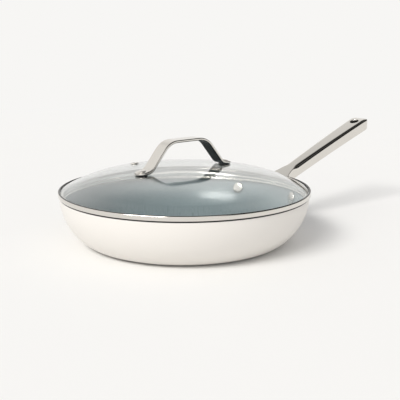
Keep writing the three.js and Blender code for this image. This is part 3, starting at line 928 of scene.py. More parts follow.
@dataclass
class LongHandle:
    """Stamped channel handle with a flared root, a yoke on the wall and two rivets.

    Edge run and runout are stretches counted from the end of the flare, over which the top
    edge grows from thin to full and the channel opens. The root leans with the wall above
    the height lean_from, by no less than lean_least.
    """

    pan: Pan
    length: float = 193.5
    rise: float = 75.0
    bow: float = 1.5
    drop: float = 3.7
    neck_width: float = 20.4
    tip_width: float = 27.4
    neck_depth: float = 14.6
    tip_depth: float = 16.6
    edge_root: float = 5.0
    edge: float = 3.6
    edge_run: Pair = (-8.0, 5.0)
    edge_thin: float = 0.15
    tip_round: float = 18.0
    tip_fall: float = 10.0
    tip_edge: float = 2.0
    tip_hem: float = 2.0
    hem: float = 0.8
    flare: float = 40.0
    lean_from: float = 20.0
    lean_least: float = -1.0
    side_wall: float = 2.6
    web: float = 3.0
    roof_bend: float = 1.8
    hole_radius: float = 6.4
    hole_inset: float = 22.4
    hole_ease: float = 0.6
    runout: Pair = (-2.0, 12.0)
    yoke_thick: float = 4.0
    yoke_drop: float = 2.8
    yoke_waist: float = 20.0
    yoke_edge: float = 1.3
    rivet_spread: float = 20.5
    rivet_drop: float = 18.3
    lobe: float = 13.0
    lobe_upper: float = 50.0
    lobe_lower: float = -120.0
    shank: float = 3.6
    head: float = 7.5
    head_dome: float = 2.6
    head_fullness: float = 2.6
    tail: float = 6.0
    tail_dome: float = 2.0
    rivet_edge: float = 0.5

    @property
    def tip_x(self) -> float:
        """Far end of the handle."""
        return self.pan.rim_radius + self.length

    @property
    def hole_x(self) -> float:
        """Centre of the hang hole."""
        return self.tip_x - self.hole_inset

    @property
    def hole_start(self) -> float:
        """Where the hang hole's eased opening starts along the handle."""
        return self.hole_x - self.hole_radius - self.hole_ease

    def along(self, x: Array | float) -> Array | float:
        """How far a point lies along the handle, 0 at the rim and 1 at the tip."""
        return (x - self.pan.rim_radius) / self.length

    def top(self, x: Array) -> Array:
        """Height of the top face: a straight climb with a slight bow, 4 bow u (1 - u)."""
        u = self.along(x)
        return self.pan.rim_height - self.drop + self.rise * u + 4 * self.bow * u * (1 - u)

    def slope(self, x: float) -> float:
        """Slope angle of the top face."""
        return math.atan((self.rise + 4 * self.bow * (1 - 2 * self.along(x))) / self.length)

    def roll(self, x: Array) -> Array:
        """Fall of the top face where it rolls down to the tip: a quarter ellipse along X."""
        near = np.clip(1 - (self.tip_x - x) / self.tip_round, 0, 1)
        return self.tip_fall * (1 - np.sqrt(1 - near**2))

    def depth(self, x: Array) -> Array:
        """Depth of the side walls, growing evenly towards the tip."""
        return self.neck_depth + (self.tip_depth - self.neck_depth) * self.along(x)

    def plan(self) -> HandlePlan:
        """Works out the plan: the flare's arc touches the yoke's face and the neck's side.

        Returns:
            The plan's sizes.
        """
        waist_z = self.pan.rim_height - self.yoke_drop - self.yoke_waist / 2
        yoke = float(self.pan.wall_radius(waist_z, SEAT_GAP + self.yoke_thick))
        neck, tip = self.neck_width / 2, self.tip_width / 2
        flare_x = math.sqrt((yoke + self.flare) ** 2 - (neck + self.flare) ** 2)
        meet_x = yoke * flare_x / (yoke + self.flare)
        return HandlePlan(waist_z, neck, flare_x, meet_x, self.tip_x - tip, tip)

    def outline(self) -> tuple[Array, Array, Array]:
        """One side of the plan, from the yoke to the tip.

        The flare is an arc about a point beside the neck, the span a straight taper and
        the tip a quarter circle.

        Returns:
            Points, outward directions and how far each lies up the flare, 1 at the yoke.
        """
        p = self.plan()
        far = math.asin((p.flare_x - p.meet_x) / self.flare)
        a = np.linspace(far, 0, FLARE_POINTS)
        ways = np.stack([np.sin(a), np.cos(a)], 1)
        flare = np.array([p.flare_x, p.neck + self.flare]) - self.flare * ways
        plain = np.linspace(p.flare_x, self.hole_start, SPAN_POINTS)[1:]
        x = np.concatenate([plain, np.linspace(self.hole_start, p.round_x, HOLE_SPAN_POINTS)[1:]])
        taper = (p.round - p.neck) / (p.round_x - p.flare_x)
        span = np.stack([x, p.neck + taper * (x - p.flare_x)], 1)
        b = np.linspace(0, QUARTER, TIP_POINTS)[1:]
        turn = np.stack([np.sin(b), np.cos(b)], 1)
        tip = np.array([p.round_x, 0]) + p.round * turn
        upright = np.tile([[0.0, 1.0]], (len(span), 1))
        climb = np.concatenate([a / far, np.zeros(len(span) + len(tip))])
        return np.concatenate([flare, span, tip]), np.concatenate([ways, upright, turn]), climb

    def middle(self, line: Array, ring: float) -> tuple[Array, int]:
        """The inner ends of the top face: along the middle, then round the hang hole.

        Args:
            line: One side of the plan.
            ring: Radius of the hole's opening there.

        Returns:
            A point for each outline point, and the first that lies on the hole.
        """
        x = line[:, 0]
        first = int(np.searchsorted(x, self.hole_start - HAIR))
        angle = np.arctan2(line[:, 1], x - self.hole_x)
        turn = np.pi * np.clip(angle / angle[first], 0, 1)
        lean = math.cos(self.slope(self.hole_x))
        round_hole = np.stack([self.hole_x + ring * lean * np.cos(turn), ring * np.sin(turn)], 1)
        share = np.clip((x - x[0]) / (x[first] - x[0]), 0, 1)
        straight = np.stack([x + (round_hole[first, 0] - x[first]) * share, np.zeros(len(x))], 1)
        return np.where((np.arange(len(x)) >= first)[:, None], round_hole, straight), first

    def edges(self, p: HandlePlan, x: Array, ways: Array) -> tuple[Array, Array]:
        """Radii along the plan of the top edge, thin at the yoke, and of the hem.

        Args:
            p: The plan's sizes.
            x: Where each outline point lies along the handle.
            ways: Outward direction of each outline point.

        Returns:
            Both radii for each outline point.
        """
        reach = np.clip((x - p.meet_x) / (p.round_x - p.meet_x), 0, 1)
        tip = np.where(x > p.round_x, ways[:, 0] ** 2, 0)
        edge = self.edge_root + (self.edge - self.edge_root) * reach + (self.tip_edge - self.edge) * tip
        edge *= self.edge_thin + (1 - self.edge_thin) * smooth(x - p.flare_x, *self.edge_run)
        return edge, self.hem + (self.tip_hem - self.hem) * tip

    def bar(self, skin: Skin) -> None:
        """Adds the channel: a section carried round the plan, with the hole's wall.

        The section runs from the middle of the top face over the rounded edge, down the
        side, round the hem, up inside the channel and back under the top face.

        Args:
            skin: Takes the new shells.
        """
        p = self.plan()
        line, ways, climb = self.outline()
        x = line[:, 0]
        inner, first = self.middle(line, self.hole_radius + self.hole_ease)
        slip = np.array([self.web * math.sin(self.slope(self.hole_x)), 0.0])
        under = inner.copy()
        under[first:] += slip
        edge, hem = self.edges(p, x, ways)
        deep = self.depth(x)
        opened = smooth(x - p.flare_x, *self.runout)
        none = np.zeros(len(x))
        waist = float(self.pan.wall_radius(p.waist_z, 0))

        def at(inset: Array | float) -> Array:
            """The plan's outline moved inwards."""
            return line - np.broadcast_to(inset, len(line))[:, None] * ways

        def lifted(flat: Array, fall: Array) -> Array:
            """Plan points put below the top face, the root leaning with the wall.

            Args:
                flat: Points in plan.
                fall: How far each lies below the top face.

            Returns:
                The points in space.
            """
            z = self.top(flat[:, 0]) - fall
            radius = self.pan.wall_radius(np.clip(z, self.lean_from, self.pan.rim_height), 0)
            shift = climb**2 * np.maximum(waist - radius, self.lean_least)
            return np.stack([flat[:, 0] - shift, flat[:, 1], z], 1)

        def over(flat: Array, fall: Array) -> Array:
            """Plan points put below the top face and its roll at the tip."""
            return lifted(flat, fall + self.roll(flat[:, 0]))

        def roof(flat: Array) -> Array:
            """Fall of the channel's roof, which runs out to the hem's level at the root."""
            return deep + (self.web + self.roll(flat[:, 0]) - deep) * opened

        a = np.linspace(0, QUARTER, LIP_POINTS)
        q = np.linspace(0, QUARTER, HEM_POINTS)[1:]
        sides = np.linspace(0, 1, FACE_STEPS + 1)[1:]
        rows = [over(f, none) for f in spread(inner, at(edge), TOP_STEPS)[:-1]]
        rows += [over(at(edge * (1 - math.sin(v))), edge * (1 - math.cos(v))) for v in a]
        brow = edge + self.roll(x)
        rows += [lifted(at(0), brow + (deep - hem - brow) * u) for u in sides]
        rows += [lifted(at(hem * (1 - math.cos(v))), deep - hem * (1 - math.sin(v))) for v in q]
        wall, bend, ease = self.side_wall, self.roof_bend, 0.5 * self.hem
        inside = len(rows) + 2
        rows.append(lifted(at(wall - ease), deep))
        corner = [(at(wall - ease * (1 - math.sin(v))), opened * ease * (1 - math.cos(v))) for v in q]
        rows += [lifted(flat, deep - rise) for flat, rise in corner]
        low, high = deep - opened * ease, roof(at(wall)) + opened * bend
        rows += [lifted(at(wall), low + (high - low) * u) for u in sides]
        corner = [(at(wall + bend * (1 - math.cos(v))), opened * bend * (1 - math.sin(v))) for v in q]
        rows += [lifted(flat, roof(flat) + fall) for flat, fall in corner]
        rows += [lifted(f, roof(f)) for f in spread(at(wall + bend), under, FACE_STEPS)[1:]]
        whole = both_sides(np.stack(rows))
        cols = whole.shape[1]
        # Rows inside the channel are marked for painted shade.
        start = skin.grid(whole, marks=np.arange(len(rows)) >= inside)
        left = start + np.arange(len(rows)) * cols
        skin.cap(np.concatenate([left, (left + cols - 1)[::-1]]))

        bore, _ = self.middle(line, self.hole_radius)
        eased = [
            (inner + (bore - inner) * math.sin(v), none + self.hole_ease * (1 - math.cos(v)))
            for v in np.linspace(0, QUARTER, BORE_POINTS)
        ]
        rows = [lifted(flat, fall)[first:] for flat, fall in eased]
        rows += [lifted(flat + slip, self.web - fall)[first:] for flat, fall in eased[::-1]]
        # The lower half of the hole's wall is marked for painted shade too.
        skin.grid(both_sides(np.stack(rows)), marks=np.arange(len(rows)) >= len(eased))

    def yoke_outline(self) -> tuple[Array, Array]:
        """Yoke seen along the handle, and its spine.

        Half of it is a level top, a curve down to the lobe, the lobe's arc round the
        rivet and a curve back to the waist; the other half mirrors it.

        Returns:
            Outline points (across, height), and a spine point for each.
        """
        p = self.plan()
        top = self.pan.rim_height - self.yoke_drop
        bottom = top - self.yoke_waist
        z0 = self.pan.rim_height - self.rivet_drop
        radius = float(self.pan.wall_radius(z0, SEAT_GAP + self.yoke_thick / 2))
        y0 = radius * math.sin(math.radians(self.rivet_spread))
        upper, lower = math.radians(self.lobe_upper), math.radians(self.lobe_lower)
        shoulder = p.neck + self.flare - math.sqrt(self.flare**2 - (p.flare_x - p.meet_x) ** 2)

        def curve(a: Array, b: Array, c: Array) -> Array:
            """Quadratic curve from a to c, pulled towards b."""
            u = np.linspace(0, 1, CURVE_POINTS)[:, None]
            return (1 - u) ** 2 * a + 2 * u * (1 - u) * b + u**2 * c

        lobe = arc((y0, z0), self.lobe, upper, lower, LOBE_POINTS)
        on_upper, on_lower = lobe[0], lobe[-1]
        pull_upper = np.array([on_upper[0] - (top - on_upper[1]) * math.tan(upper), top])
        reach = (bottom - on_lower[1]) * math.tan(math.pi + lower)
        pull_lower = np.array([on_lower[0] - reach, bottom])
        level = np.linspace((0, top), (shoulder, top), LEVEL_POINTS)
        waist = np.linspace((p.neck, bottom), (0, bottom), WAIST_POINTS)
        half = np.concatenate([
            level[:-1], curve(level[-1], pull_upper, on_upper)[:-1], lobe[:-1],
            curve(on_lower, pull_lower, waist[0])[:-1], waist,
        ])
        full = np.concatenate([half, half[-2:0:-1] * [-1, 1]])
        across = np.clip(full[:, 0], -y0, y0)
        height = p.waist_z + (z0 - p.waist_z) * smooth(np.abs(across), 0, y0)
        return full, np.stack([across, height], 1)

    def on_wall(self, y: Array, z: Array, offset: Array) -> Array:
        """Puts points of the yoke's outline on the wall along X: x^2 = radius^2 - y^2."""
        x = np.sqrt(self.pan.wall_radius(z, offset) ** 2 - y**2)
        return np.stack([x, y, z], axis=-1)

    def rivet(self, side: float, name: str) -> Piece:
        """Turns a rivet: domed head inside the pan, shank and formed tail on the yoke.

        Args:
            side: 1 for the left rivet, -1 for the right.
            name: The piece's name.

        Returns:
            The new object.
        """
        hollow = self.head**2 / (2 * (self.pan.flank_radius - self.pan.wall))
        seat = -(self.pan.wall + SEAT_GAP + hollow)
        end = self.yoke_thick + 2 * SEAT_GAP
        section = np.concatenate([
            dome(self.head, seat, -self.head_dome, self.rivet_edge, self.head_fullness),
            [[self.shank, seat], [self.shank, end]],
            dome(self.tail, end, self.tail_dome, self.rivet_edge)[::-1],
        ])
        frame = self.pan.rivet_frame(side, self.rivet_spread, self.rivet_drop)
        return spun(name, section, SMALL_TURN, frame)

    def build(self, finishes: Finishes) -> None:
        """Builds and dresses the handle and its rivets.

        Args:
            finishes: The materials.
        """
        # This mark paints the channel's inside and the yoke's underside nearly black: painted shade.
        skin = Skin("shade_and_reflection")
        self.bar(skin)
        outline, spine = self.yoke_outline()
        yoke, under = plate(outline, spine, self.yoke_thick, self.yoke_edge, SEAT_GAP, self.on_wall)
        # The yoke's underside rows carry the painted-shade mark.
        skin.grid(yoke, wrap_cols=True, marks=under)
        handle = skin.lay("long_handle")
        even_normals(handle)
        dress(handle, finishes.handle, Body.PAN, Slot.POLISHED, "pan_handle")
        for side, place in ((1.0, "left"), (-1.0, "right")):
            rivet = self.rivet(side, f"yoke_rivet_{place}")
            dress(rivet, finishes.rivet, Body.PAN, Slot.RIVET, f"handle_rivet_{place}")


# Lid


@dataclass
class Lid:
    """Domed glass in a rolled steel band, with a bent strap, its fixings and a steam vent.

    A bead is (height, half its width, depth) and the shoulder (radius where it starts, reach).
    The foot and fold counts give the points of the band's section painted nearly black: painted shade at the
    foot on the rim, painted shade and painted reflection along the fold; the edge rows of the strap's plate
    carry its dark edge line, a painted reflection.
    """

    pan: Pan
    band_proud: float = 1.5
    sheet: float = 0.9
    flange: float = 2.2
    rolls: tuple[float, ...] = (0.8, 1.3, 0.4, 0.35, 0.3, 0.3, 0.4, 0.4, 0.4, 0.3)
    skirt_clear: float = 2.0
    skirt_depth: float = 8.0
    beads: tuple[Triple, ...] = ((-3.7, 1.4, 0.6), (-7.0, 1.2, 0.8))
    # Points of the band's section painted nearly black: shade at the foot, shade and dark reflection along
    # the fold.
    shade_foot: int = 5
    shade_fold: tuple[int, int] = (10, 28)
    glass: float = 3.5
    glass_ease: float = 0.8
    glass_crowding: float = 1.5
    ledge: float = 3.6
    shoulder: Pair = (132.0, 2.2)
    rise: float = 24.8
    fullness: float = 3.65
    strap_width: float = 18.4
    strap: float = 3.2
    strap_edge: float = 1.15
    # Share of dark paint on the strap's edge rows: a painted reflection line.
    painted_edge_reflection: float = 0.85
    edge_rows: tuple[int, int] = (8, 11)
    strap_top: float = 36.0
    half_top: float = 28.3
    foot_radius: float = 64.0
    heel: float = 9.2
    toe: float = 8.2
    foot_tip: float = 1.6
    foot_sink: float = 0.5
    upper_bend: float = 25.0
    lower_bend: float = 10.5
    glass_seat: float = 0.45
    shank: float = 2.8
    head: float = 5.0
    head_dome: float = 1.3
    head_edge: float = 0.3
    tail: float = 4.8
    tail_dome: float = 1.6
    tail_edge: float = 0.4
    washer_radius: float = 7.0
    washer_ease: float = 0.3
    upper_washer: float = 0.5
    lower_washer: float = 0.9
    pad_seat: float = 0.05
    backing_radius: float = 6.6
    backing: float = 0.9
    vent_radius: float = 78.0
    vent_angle: float = 106.0
    vent_bore: float = 2.6
    vent_tube: float = 3.3
    vent_flange: float = 5.4
    vent_roll: float = 4.7
    vent_sheet: float = 0.8
    vent_rolls: tuple[float, ...] = (0.4, 0.4, 0.2, 0.1, 0.1, 0.2, 0.3, 0.3)

    @property
    def seat(self) -> float:
        """Height of the band's seat on the rim."""
        return self.pan.rim_height + SEAT_GAP

    @property
    def seat_frame(self) -> Array:
        """Frame on the pan's axis at the band's seat."""
        return station(0, self.seat, 0, 0)

    @property
    def band_radius(self) -> float:
        """Outer radius of the band."""
        return self.pan.rim_radius + self.band_proud

    @property
    def dome_radius(self) -> float:
        """Radius where the dome meets the flat edge of the glass."""
        return self.band_radius - self.sheet - SEAT_GAP - self.ledge

    @property
    def glass_foot(self) -> float:
        """Top of the flat edge of the glass above the seat."""
        return self.sheet + SEAT_GAP + self.glass

    @property
    def foot_base(self) -> float:
        """Underside of a strap foot above the glass."""
        return SEAT_GAP + self.upper_washer + SEAT_GAP

    @property
    def lower_base(self) -> float:
        """Underside of the washers below the glass."""
        return -self.glass - self.glass_seat - self.lower_washer

    def crown(self, r: Array | float) -> Array:
        """Height of the outside of the glass: foot + rise (1 - (r / radius)^fullness)."""
        return self.glass_foot + self.rise * (1 - (r / self.dome_radius) ** self.fullness)

    def lean(self, r: Array | float) -> Array:
        """Slope angle of the glass, from the slope of its crown."""
        steep = self.rise * self.fullness / self.dome_radius
        return np.arctan(steep * (r / self.dome_radius) ** (self.fullness - 1))

    def on_glass(self, r: float, azimuth: float) -> Array:
        """Frame standing square on the outside of the glass."""
        return station(r, self.seat + float(self.crown(r)), float(self.lean(r)), azimuth)

    def dome_glass(self) -> Piece:
        """Turns the glass: dome, shoulder out to the fold, flat edge, and an even wall below.

        Returns:
            The new object.
        """
        r = self.dome_radius * (1 - (1 - np.linspace(0, 1, DOME_POINTS)) ** self.glass_crowding)
        tilt, crown = self.lean(r), self.crown(r)
        start, reach = self.shoulder
        out = r + reach * smooth(r, start, self.dome_radius)
        below = np.stack([out - self.glass * np.sin(tilt), crown - self.glass * np.cos(tilt)], 1)
        outer, ease = self.dome_radius + self.ledge, self.glass_ease
        foot, base = self.glass_foot, self.sheet + SEAT_GAP
        section = np.concatenate([
            np.stack([out, crown], 1),
            arc((outer - ease, foot - ease), ease, QUARTER, 0, HEM_POINTS),
            arc((outer - ease, base + ease), ease, 0, -QUARTER, HEM_POINTS),
            [[self.dome_radius + reach, base]],
            below[::-1],
        ])
        return spun("lid_dome", section, WIDE_TURN, self.seat_frame)

    def swell(self, z: Array) -> Array:
        """How far the skirt's pressed beads stand inwards: raised cosines, added up.

        Args:
            z: Heights above the seat.

        Returns:
            The distance at each height.
        """
        at, half, out = np.array(self.beads).T
        away = np.clip(np.abs(z[:, None] - at) / half, 0, 1)
        return (out * (1 + np.cos(np.pi * away)) / 2).sum(1)

    def band(self) -> Piece:
        """Turns the rolled band: a channel round the glass and a beaded skirt inside the pan.

        The section starts at the band's foot and runs up its outside, over the fold, round
        the glass and down the skirt, whose two long sides get points enough for the beads.

        Returns:
            The new object.
        """
        out, t = self.band_radius, self.sheet
        high = 2 * t + self.glass + 2 * SEAT_GAP
        skirt, hang = self.pan.rim_radius - self.pan.wall - self.skirt_clear, -self.skirt_depth
        fold = out - self.flange
        spots = [
            (out, 0.0), (out, high), (fold, high), (fold, high - t), (out - t, high - t),
            (out - t, t), (skirt - t, t), (skirt - t, hang), (skirt, hang), (skirt, 0.0),
        ]
        section = rounded(spots, self.rolls, ROLL_STEPS)
        # Painted shade at the band's foot where it sits on the rim, painted shade and painted reflection
        # along the fold's top roll.
        shade_and_reflection = np.zeros(len(section), bool)
        shade_and_reflection[:self.shade_foot] = True
        shade_and_reflection[slice(*self.shade_fold)] = True
        down, up = (spots.index(spot) * (ROLL_STEPS + 1) for spot in ((skirt - t, hang), (skirt, 0.0)))
        sides = [spread(section[i - 1:i], section[i:i + 1], SKIRT_STEPS)[1:-1, 0] for i in (down, up)]
        breaks = np.repeat([down, up], SKIRT_STEPS - 1)
        section = np.insert(section, breaks, np.concatenate(sides), axis=0)
        shade_and_reflection = np.insert(shade_and_reflection, breaks, False)
        hanging = (section[:, 0] < skirt + SLACK) & (section[:, 1] < 0)
        section[:, 0] -= np.where(hanging, self.swell(section[:, 1]), 0)
        return spun("rim_band", section, WIDE_TURN, self.seat_frame, closed=True, mark="shade_and_reflection", marks=shade_and_reflection)

    def strap_path(self) -> tuple[Array, Array]:
        """Middle line of the strap from one toe to the other, in the X-Z plane.

        Straight runs through the corners, each corner rounded by an arc.

        Returns:
            Points along the line, and the length run at each.
        """
        tilt = float(self.lean(self.foot_radius))
        up = np.array([math.sin(tilt), math.cos(tilt)])
        out = np.array([math.cos(tilt), -math.sin(tilt)])
        foot = np.array([self.foot_radius, float(self.crown(self.foot_radius))])
        foot += (self.foot_base + self.strap / 2) * up
        grip = np.array([self.half_top, float(self.crown(0.0)) + self.strap_top - self.strap / 2])
        half = np.stack([foot + self.toe * out, foot - self.heel * out, grip])
        corners = np.concatenate([half, half[::-1] * [-1.0, 1.0]])
        radii = np.array([self.lower_bend, self.upper_bend, self.upper_bend, self.lower_bend])
        bends = fillets(corners[:-2], corners[1:-1], corners[2:], radii, BEND_STEPS)
        line = np.concatenate([corners[:1], bends, corners[-1:]])
        run = np.concatenate([[0.0], np.cumsum(np.linalg.norm(np.diff(line, axis=0), axis=1))])
        return line, run

    def foot_fall(self) -> float:
        """Slope of a foot's upper face, which thins evenly from the lower bend to the toe."""
        _, run = self.strap_path()
        return (self.strap - self.foot_tip) / float(run[1])

    def strap_piece(self) -> Piece:
        """Bends a round-ended plate along the strap's middle line and thins its feet.

        Returns:
            The new object.
        """
        line, run = self.strap_path()
        total, end = float(run[-1]), self.strap_width / 2
        joints = run[(run > end) & (run < total - end)]
        reach = np.unique(np.concatenate([np.linspace(end, total - end, STRAP_POINTS), joints]))
        right = arc((total - end, 0), end, QUARTER, -QUARTER, STRAP_END_POINTS)
        left = right * [-1, -1] + [total, 0]
        side = np.stack([reach, np.full_like(reach, end)], 1)
        outline = np.concatenate([side[:-1], right, side[1:-1][::-1] * [1, -1], left[:-1]])
        spine = np.stack([np.clip(outline[:, 0], end, total - end), np.zeros(len(outline))], 1)
        heading = np.gradient(line, run, axis=0)
        bend_from, bend_to, fall = run[1], run[1 + BEND_STEPS], self.foot_fall()

        def bent(along: Array, across: Array, height: Array) -> Array:
            """Puts the plate on the line, its feet thinned from above and let down below.

            Args:
                along: Length run along the line.
                across: Distance from the middle line.
                height: Height over the middle line.

            Returns:
                The points in space.
            """
            near = np.minimum(along, total - along)
            share = height / self.strap
            sink = self.foot_sink * smooth(bend_to - near, 0, bend_to - bend_from)
            height = height - (share + 0.5) * fall * np.maximum(bend_from - near, 0) - (0.5 - share) * sink
            x, z, dx, dz = (np.interp(along, run, values) for values in (*line.T, *heading.T))
            size = np.hypot(dx, dz)
            return np.stack([x + height * dz / size, across, self.seat + z - height * dx / size], axis=-1)

        skin = Skin("shade_and_reflection")
        # The strap's underside is marked for painted shade, its edge rows for a painted dark reflection.
        points, under = plate(outline, spine, self.strap, self.strap_edge, -self.strap / 2, bent)
        under[slice(*self.edge_rows)] = self.painted_edge_reflection
        skin.grid(points, wrap_cols=True, marks=under)
        piece = skin.lay("lid_strap")
        even_normals(piece)
        return piece

    @staticmethod
    def ring(
        name: str, frame: Array, corners: list[Pair], radii: tuple[float, ...] | float
    ) -> Piece:
        """Turns a ring with rounded corners and stands it in a frame."""
        return spun(name, rounded(corners, radii, RING_STEPS), SMALL_TURN, frame, closed=True)

    def washer(
        self, name: str, frame: Array, bore: float, radius: float, base: float, thick: float
    ) -> Piece:
        """Turns a flat washer with eased edges and stands it in a frame.

        Args:
            name: The piece's name.
            frame: Where it stands.
            bore: Radius of its hole.
            radius: Outer radius.
            base: Height of its lower face.
            thick: Thickness.

        Returns:
            The new object.
        """
        top = base + thick
        corners = [(bore, base), (radius, base), (radius, top), (bore, top)]
        return self.ring(name, frame, corners, thick * self.washer_ease)

    def fixing(self, finishes: Finishes, azimuth: float, place: str) -> None:
        """Builds the pieces stacked on one strap foot, from the rivet's head to its tail.

        Args:
            finishes: The materials.
            azimuth: Direction of the foot in radians.
            place: The foot's name within the pieces' names.
        """
        frame = self.on_glass(self.foot_radius, azimuth)
        fall = self.foot_fall()
        top = frame @ station(0, self.foot_base + self.foot_tip + fall * self.toe, math.atan(fall), 0)
        bore = self.shank + SEAT_GAP
        backing = self.lower_base - SEAT_GAP - self.backing
        seat, end = self.pad_seat, backing - SEAT_GAP
        head = dome(self.head, seat, self.head_dome, self.head_edge)
        tail = dome(self.tail, end, -self.tail_dome, self.tail_edge)[::-1]
        head = np.concatenate([head, [[self.shank, seat]]])
        tail = np.concatenate([[[self.shank, end]], tail])
        skin = Skin()
        rings = [placed(turned(head, SMALL_TURN), top), placed(turned(tail, SMALL_TURN), frame)]
        skin.grid(np.concatenate(rings), wrap_cols=True)
        rivet = skin.lay(f"strap_rivet_{place}")
        dress(rivet, finishes.rivet, Body.LID, Slot.RIVET, f"lid_rivet_{place}")
        pad = self.foot_base - self.foot_sink - 2 * seat
        for kind, base, thick in (("upper", seat, pad), ("lower", self.lower_base, self.lower_washer)):
            seal = self.washer(f"{kind}_seal_{place}", frame, bore, self.washer_radius, base, thick)
            dress(seal, finishes.seal, Body.LID, Slot.SEAL, f"{kind}_washer_{place}")
        back = self.washer(f"rivet_back_{place}", frame, bore, self.backing_radius, backing, self.backing)
        dress(back, finishes.rivet, Body.LID, Slot.RIVET, f"backing_washer_{place}")

    def vent(self, finishes: Finishes) -> None:
        """Builds the steam vent: an eyelet rolled over both faces, and its washer.

        Args:
            finishes: The materials.
        """
        frame = self.on_glass(self.vent_radius, math.radians(self.vent_angle))
        bore, tube, flange, roll = self.vent_bore, self.vent_tube, self.vent_flange, self.vent_roll
        seat, top = self.glass_seat, self.glass_seat + self.vent_sheet
        under = self.lower_base - SEAT_GAP
        low = under - self.vent_sheet
        corners = [
            (bore, top), (flange, top), (flange, seat), (tube, seat),
            (tube, under), (roll, under), (roll, low), (bore, low),
        ]
        eyelet = self.ring("vent_ring", frame, corners, self.vent_rolls)
        dress(eyelet, finishes.rivet, Body.LID, Slot.RIVET, "vent_eyelet")
        seal = self.washer("vent_seal", frame, tube + SEAT_GAP, flange, self.lower_base, self.lower_washer)
        dress(seal, finishes.pale_seal, Body.LID, Slot.SEAL, "vent_washer")

    def build(self, finishes: Finishes) -> None:
        """Builds and dresses the lid.

        Args:
            finishes: The materials.
        """
        dress(self.dome_glass(), finishes.glass, Body.LID, Slot.GLASS, "lid_glass")
        dress(self.band(), finishes.band, Body.LID, Slot.POLISHED, "lid_rim_band")
        dress(self.strap_piece(), finishes.handle, Body.LID, Slot.POLISHED, "lid_handle")
        self.fixing(finishes, 0.0, "near")
        self.fixing(finishes, math.pi, "far")
        self.vent(finishes)


# Studio


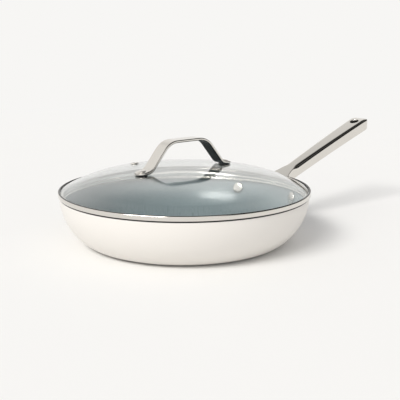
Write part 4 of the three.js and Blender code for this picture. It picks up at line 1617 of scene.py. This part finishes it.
@dataclass
class Studio:
    """White sweep, a wide soft key from the left, a weak front lamp, an even fill and the camera.

    Places and distances here are in metres.
    """

    camera_at: Triple = (-0.5520, -0.6866, 0.2438)
    forward: Pair = (0.6428, 0.7660)
    pitch_deg: float = 12.49
    lens: float = 66.21
    film: float = 36.0
    sight: Pair = (0.01, 100.0)
    lamp_colour: Triple = (1.0, 0.985, 0.96)
    lamp_away: float = 2.0
    key_way: Triple = (-0.741, -0.149, 0.655)
    key_apart_deg: float = 9.0
    key_spread_deg: float = 18.0
    key_strength: float = 2.15
    front_way: Triple = (-0.66, -0.75, 0.02)
    front_spread_deg: float = 70.0
    front_strength: float = 0.50
    fill: float = 0.61
    fill_cool: float = 1.01
    white: Colour = (0.93, 0.922, 0.905, 1.0)
    floor_colour: Colour = (0.86, 0.855, 0.84, 1.0)
    floor_lighter: float = 1.012
    floor_grain: Pair = (500.0, 4.0)
    floor_rings: int = 24
    floor_reach: Pair = (0.3, 60.0)
    sweep: Pair = (0.75, 1.7)
    ceiling_from: Pair = (0.50, 0.92)
    open_side: Pair = (0.35, 0.55)
    open_front: Pair = (0.12, 0.42)
    flag_side: Pair = (0.42, 0.62)
    flag_from: Pair = (0.06, 0.20)
    unlit: Colour = (0.015, 0.015, 0.015, 1.0)

    @staticmethod
    def aimed(name: str, data: bpy.types.ID, place: Vector, way: Vector) -> Piece:
        """Links a lamp or a camera at a place, looking along a way.

        Args:
            name: The object's name.
            data: The lamp or the camera.
            place: Where it stands.
            way: Where it looks.

        Returns:
            The new object.
        """
        thing = bpy.data.objects.new(name, data)
        bpy.context.scene.collection.objects.link(thing)
        thing.location = place
        thing.rotation_mode = "QUATERNION"
        thing.rotation_quaternion = way.to_track_quat("-Z", "Y")
        return thing

    def camera(self) -> None:
        """Makes the camera at the photograph's viewing angle."""
        data = bpy.data.cameras.new("camera")
        data.lens, data.sensor_width = self.lens, self.film
        data.clip_start, data.clip_end = self.sight
        c, s = math.cos(math.radians(self.pitch_deg)), math.sin(math.radians(self.pitch_deg))
        way = Vector((self.forward[0] * c, self.forward[1] * c, -s))
        bpy.context.scene.camera = self.aimed("camera", data, Vector(self.camera_at), way)

    def lamp(self, name: str, way: Vector, strength: float, spread_deg: float) -> Piece:
        """Hangs a soft lamp that lights the whole floor evenly.

        Args:
            name: The lamp's name.
            way: Direction from the pan to the lamp.
            strength: Light on a face square to it.
            spread_deg: How broad the lamp looks from the pan.

        Returns:
            The lamp.
        """
        data = bpy.data.lights.new(name, "SUN")
        data.energy = strength
        data.angle = math.radians(spread_deg)
        data.color = self.lamp_colour
        away = way.normalized()
        return self.aimed(name, data, away * self.lamp_away, -away)

    def lights(self) -> None:
        """Sets the key, two lamps side by side, and a weak front lamp that no mirror shows."""
        for name, side in (("soft_key_left", -1), ("soft_key_right", 1)):
            way = Vector(self.key_way)
            way.rotate(Euler((0.0, 0.0, side * math.radians(self.key_apart_deg))))
            self.lamp(name, way, self.key_strength / 2, self.key_spread_deg)
        front = self.lamp("front_fill", Vector(self.front_way), self.front_strength, self.front_spread_deg)
        front.visible_glossy = False

    @staticmethod
    def shown(board: Board) -> Socket:
        """1 for rays that see the set: from the camera, mirrors and glass.

        Args:
            board: Takes the nodes.

        Returns:
            The output that holds it.
        """
        path = board.put("LightPath").outputs
        seen = board.maths("MAXIMUM", path["Is Camera Ray"], path["Is Glossy Ray"])
        return board.maths("MAXIMUM", seen, path["Is Transmission Ray"])

    def world(self) -> None:
        """An even fill for light; for what is seen, white walls, a dark ceiling and a dark flag."""
        world = bpy.data.worlds.new("studio")
        bpy.context.scene.world = world
        world.use_nodes = True
        world.node_tree.nodes.clear()
        board = Board(world.node_tree)
        way = board.put("TexCoord").outputs["Generated"]
        up = board.put("SeparateXYZ", {0: way}).outputs["Z"]
        x, y = self.forward
        left, front = (
            board.vector("DOT_PRODUCT", way, side).outputs["Value"] for side in ((-y, x, 0.0), (-x, -y, 0.0))
        )
        right = board.maths("MULTIPLY", left, -1.0)
        sides = board.step(left, *self.open_side), board.step(front, *self.open_front)
        closed = board.maths("SUBTRACT", 1.0, board.maths("MAXIMUM", *sides))
        ceiling = board.maths("MULTIPLY", board.step(up, *self.ceiling_from), closed)
        flag = board.maths("MULTIPLY", board.step(right, *self.flag_side), board.step(up, *self.flag_from))
        dark = board.maths("MAXIMUM", ceiling, flag)
        mirrored = board.maths("MULTIPLY", dark, board.put("LightPath").outputs["Is Glossy Ray"])
        scene = board.blend(mirrored, self.white, self.unlit)
        fill = (self.fill, self.fill, self.fill * self.fill_cool, 1.0)
        light = {"Color": board.blend(self.shown(board), fill, scene), "Strength": 1.0}
        board.show(board.put("Background", light), "OutputWorld")

    def floor(self) -> None:
        """Lays the floor: pale and matt near the pan, fading into the white set."""
        rings = np.concatenate([[0.0], np.geomspace(*self.floor_reach, self.floor_rings)]) / MM
        piece = spun("floor", np.stack([rings, np.zeros_like(rings)], 1), FLOOR_TURN)
        if piece.data.polygons[0].normal.z < 0:
            piece.data.flip_normals()
        material, board = fresh_material("floor_paper")
        far = board.step(board.vector("LENGTH", board.at()).outputs["Value"], *self.sweep)
        drift = board.grain(*self.floor_grain).outputs["Drift"]
        lighter = tuple(min(1.0, v * self.floor_lighter) for v in self.floor_colour[:3]) + (1.0,)
        paper = board.put("BsdfDiffuse", {"Color": board.blend(drift, self.floor_colour, lighter)})
        glow = board.put("Emission", {"Color": self.white})
        share = board.maths("MULTIPLY", far, self.shown(board))
        board.show(board.put("MixShader", {0: share, 1: paper.outputs[0], 2: glow.outputs[0]}))
        piece.data.materials.append(material)

    def build(self) -> None:
        """Sets up the camera, the light and the floor."""
        self.camera()
        self.lights()
        self.world()
        self.floor()
        bpy.context.scene.view_settings.view_transform = "Standard"


def main() -> None:
    """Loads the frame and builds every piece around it."""
    logging.basicConfig(level=logging.INFO, format="%(name)s: %(message)s")
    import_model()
    finishes = Finishes.make()
    pan = Pan()
    Studio().build()
    for part in (pan, LongHandle(pan), Lid(pan)):
        part.build(finishes)


if __name__ == "__main__":
    main()
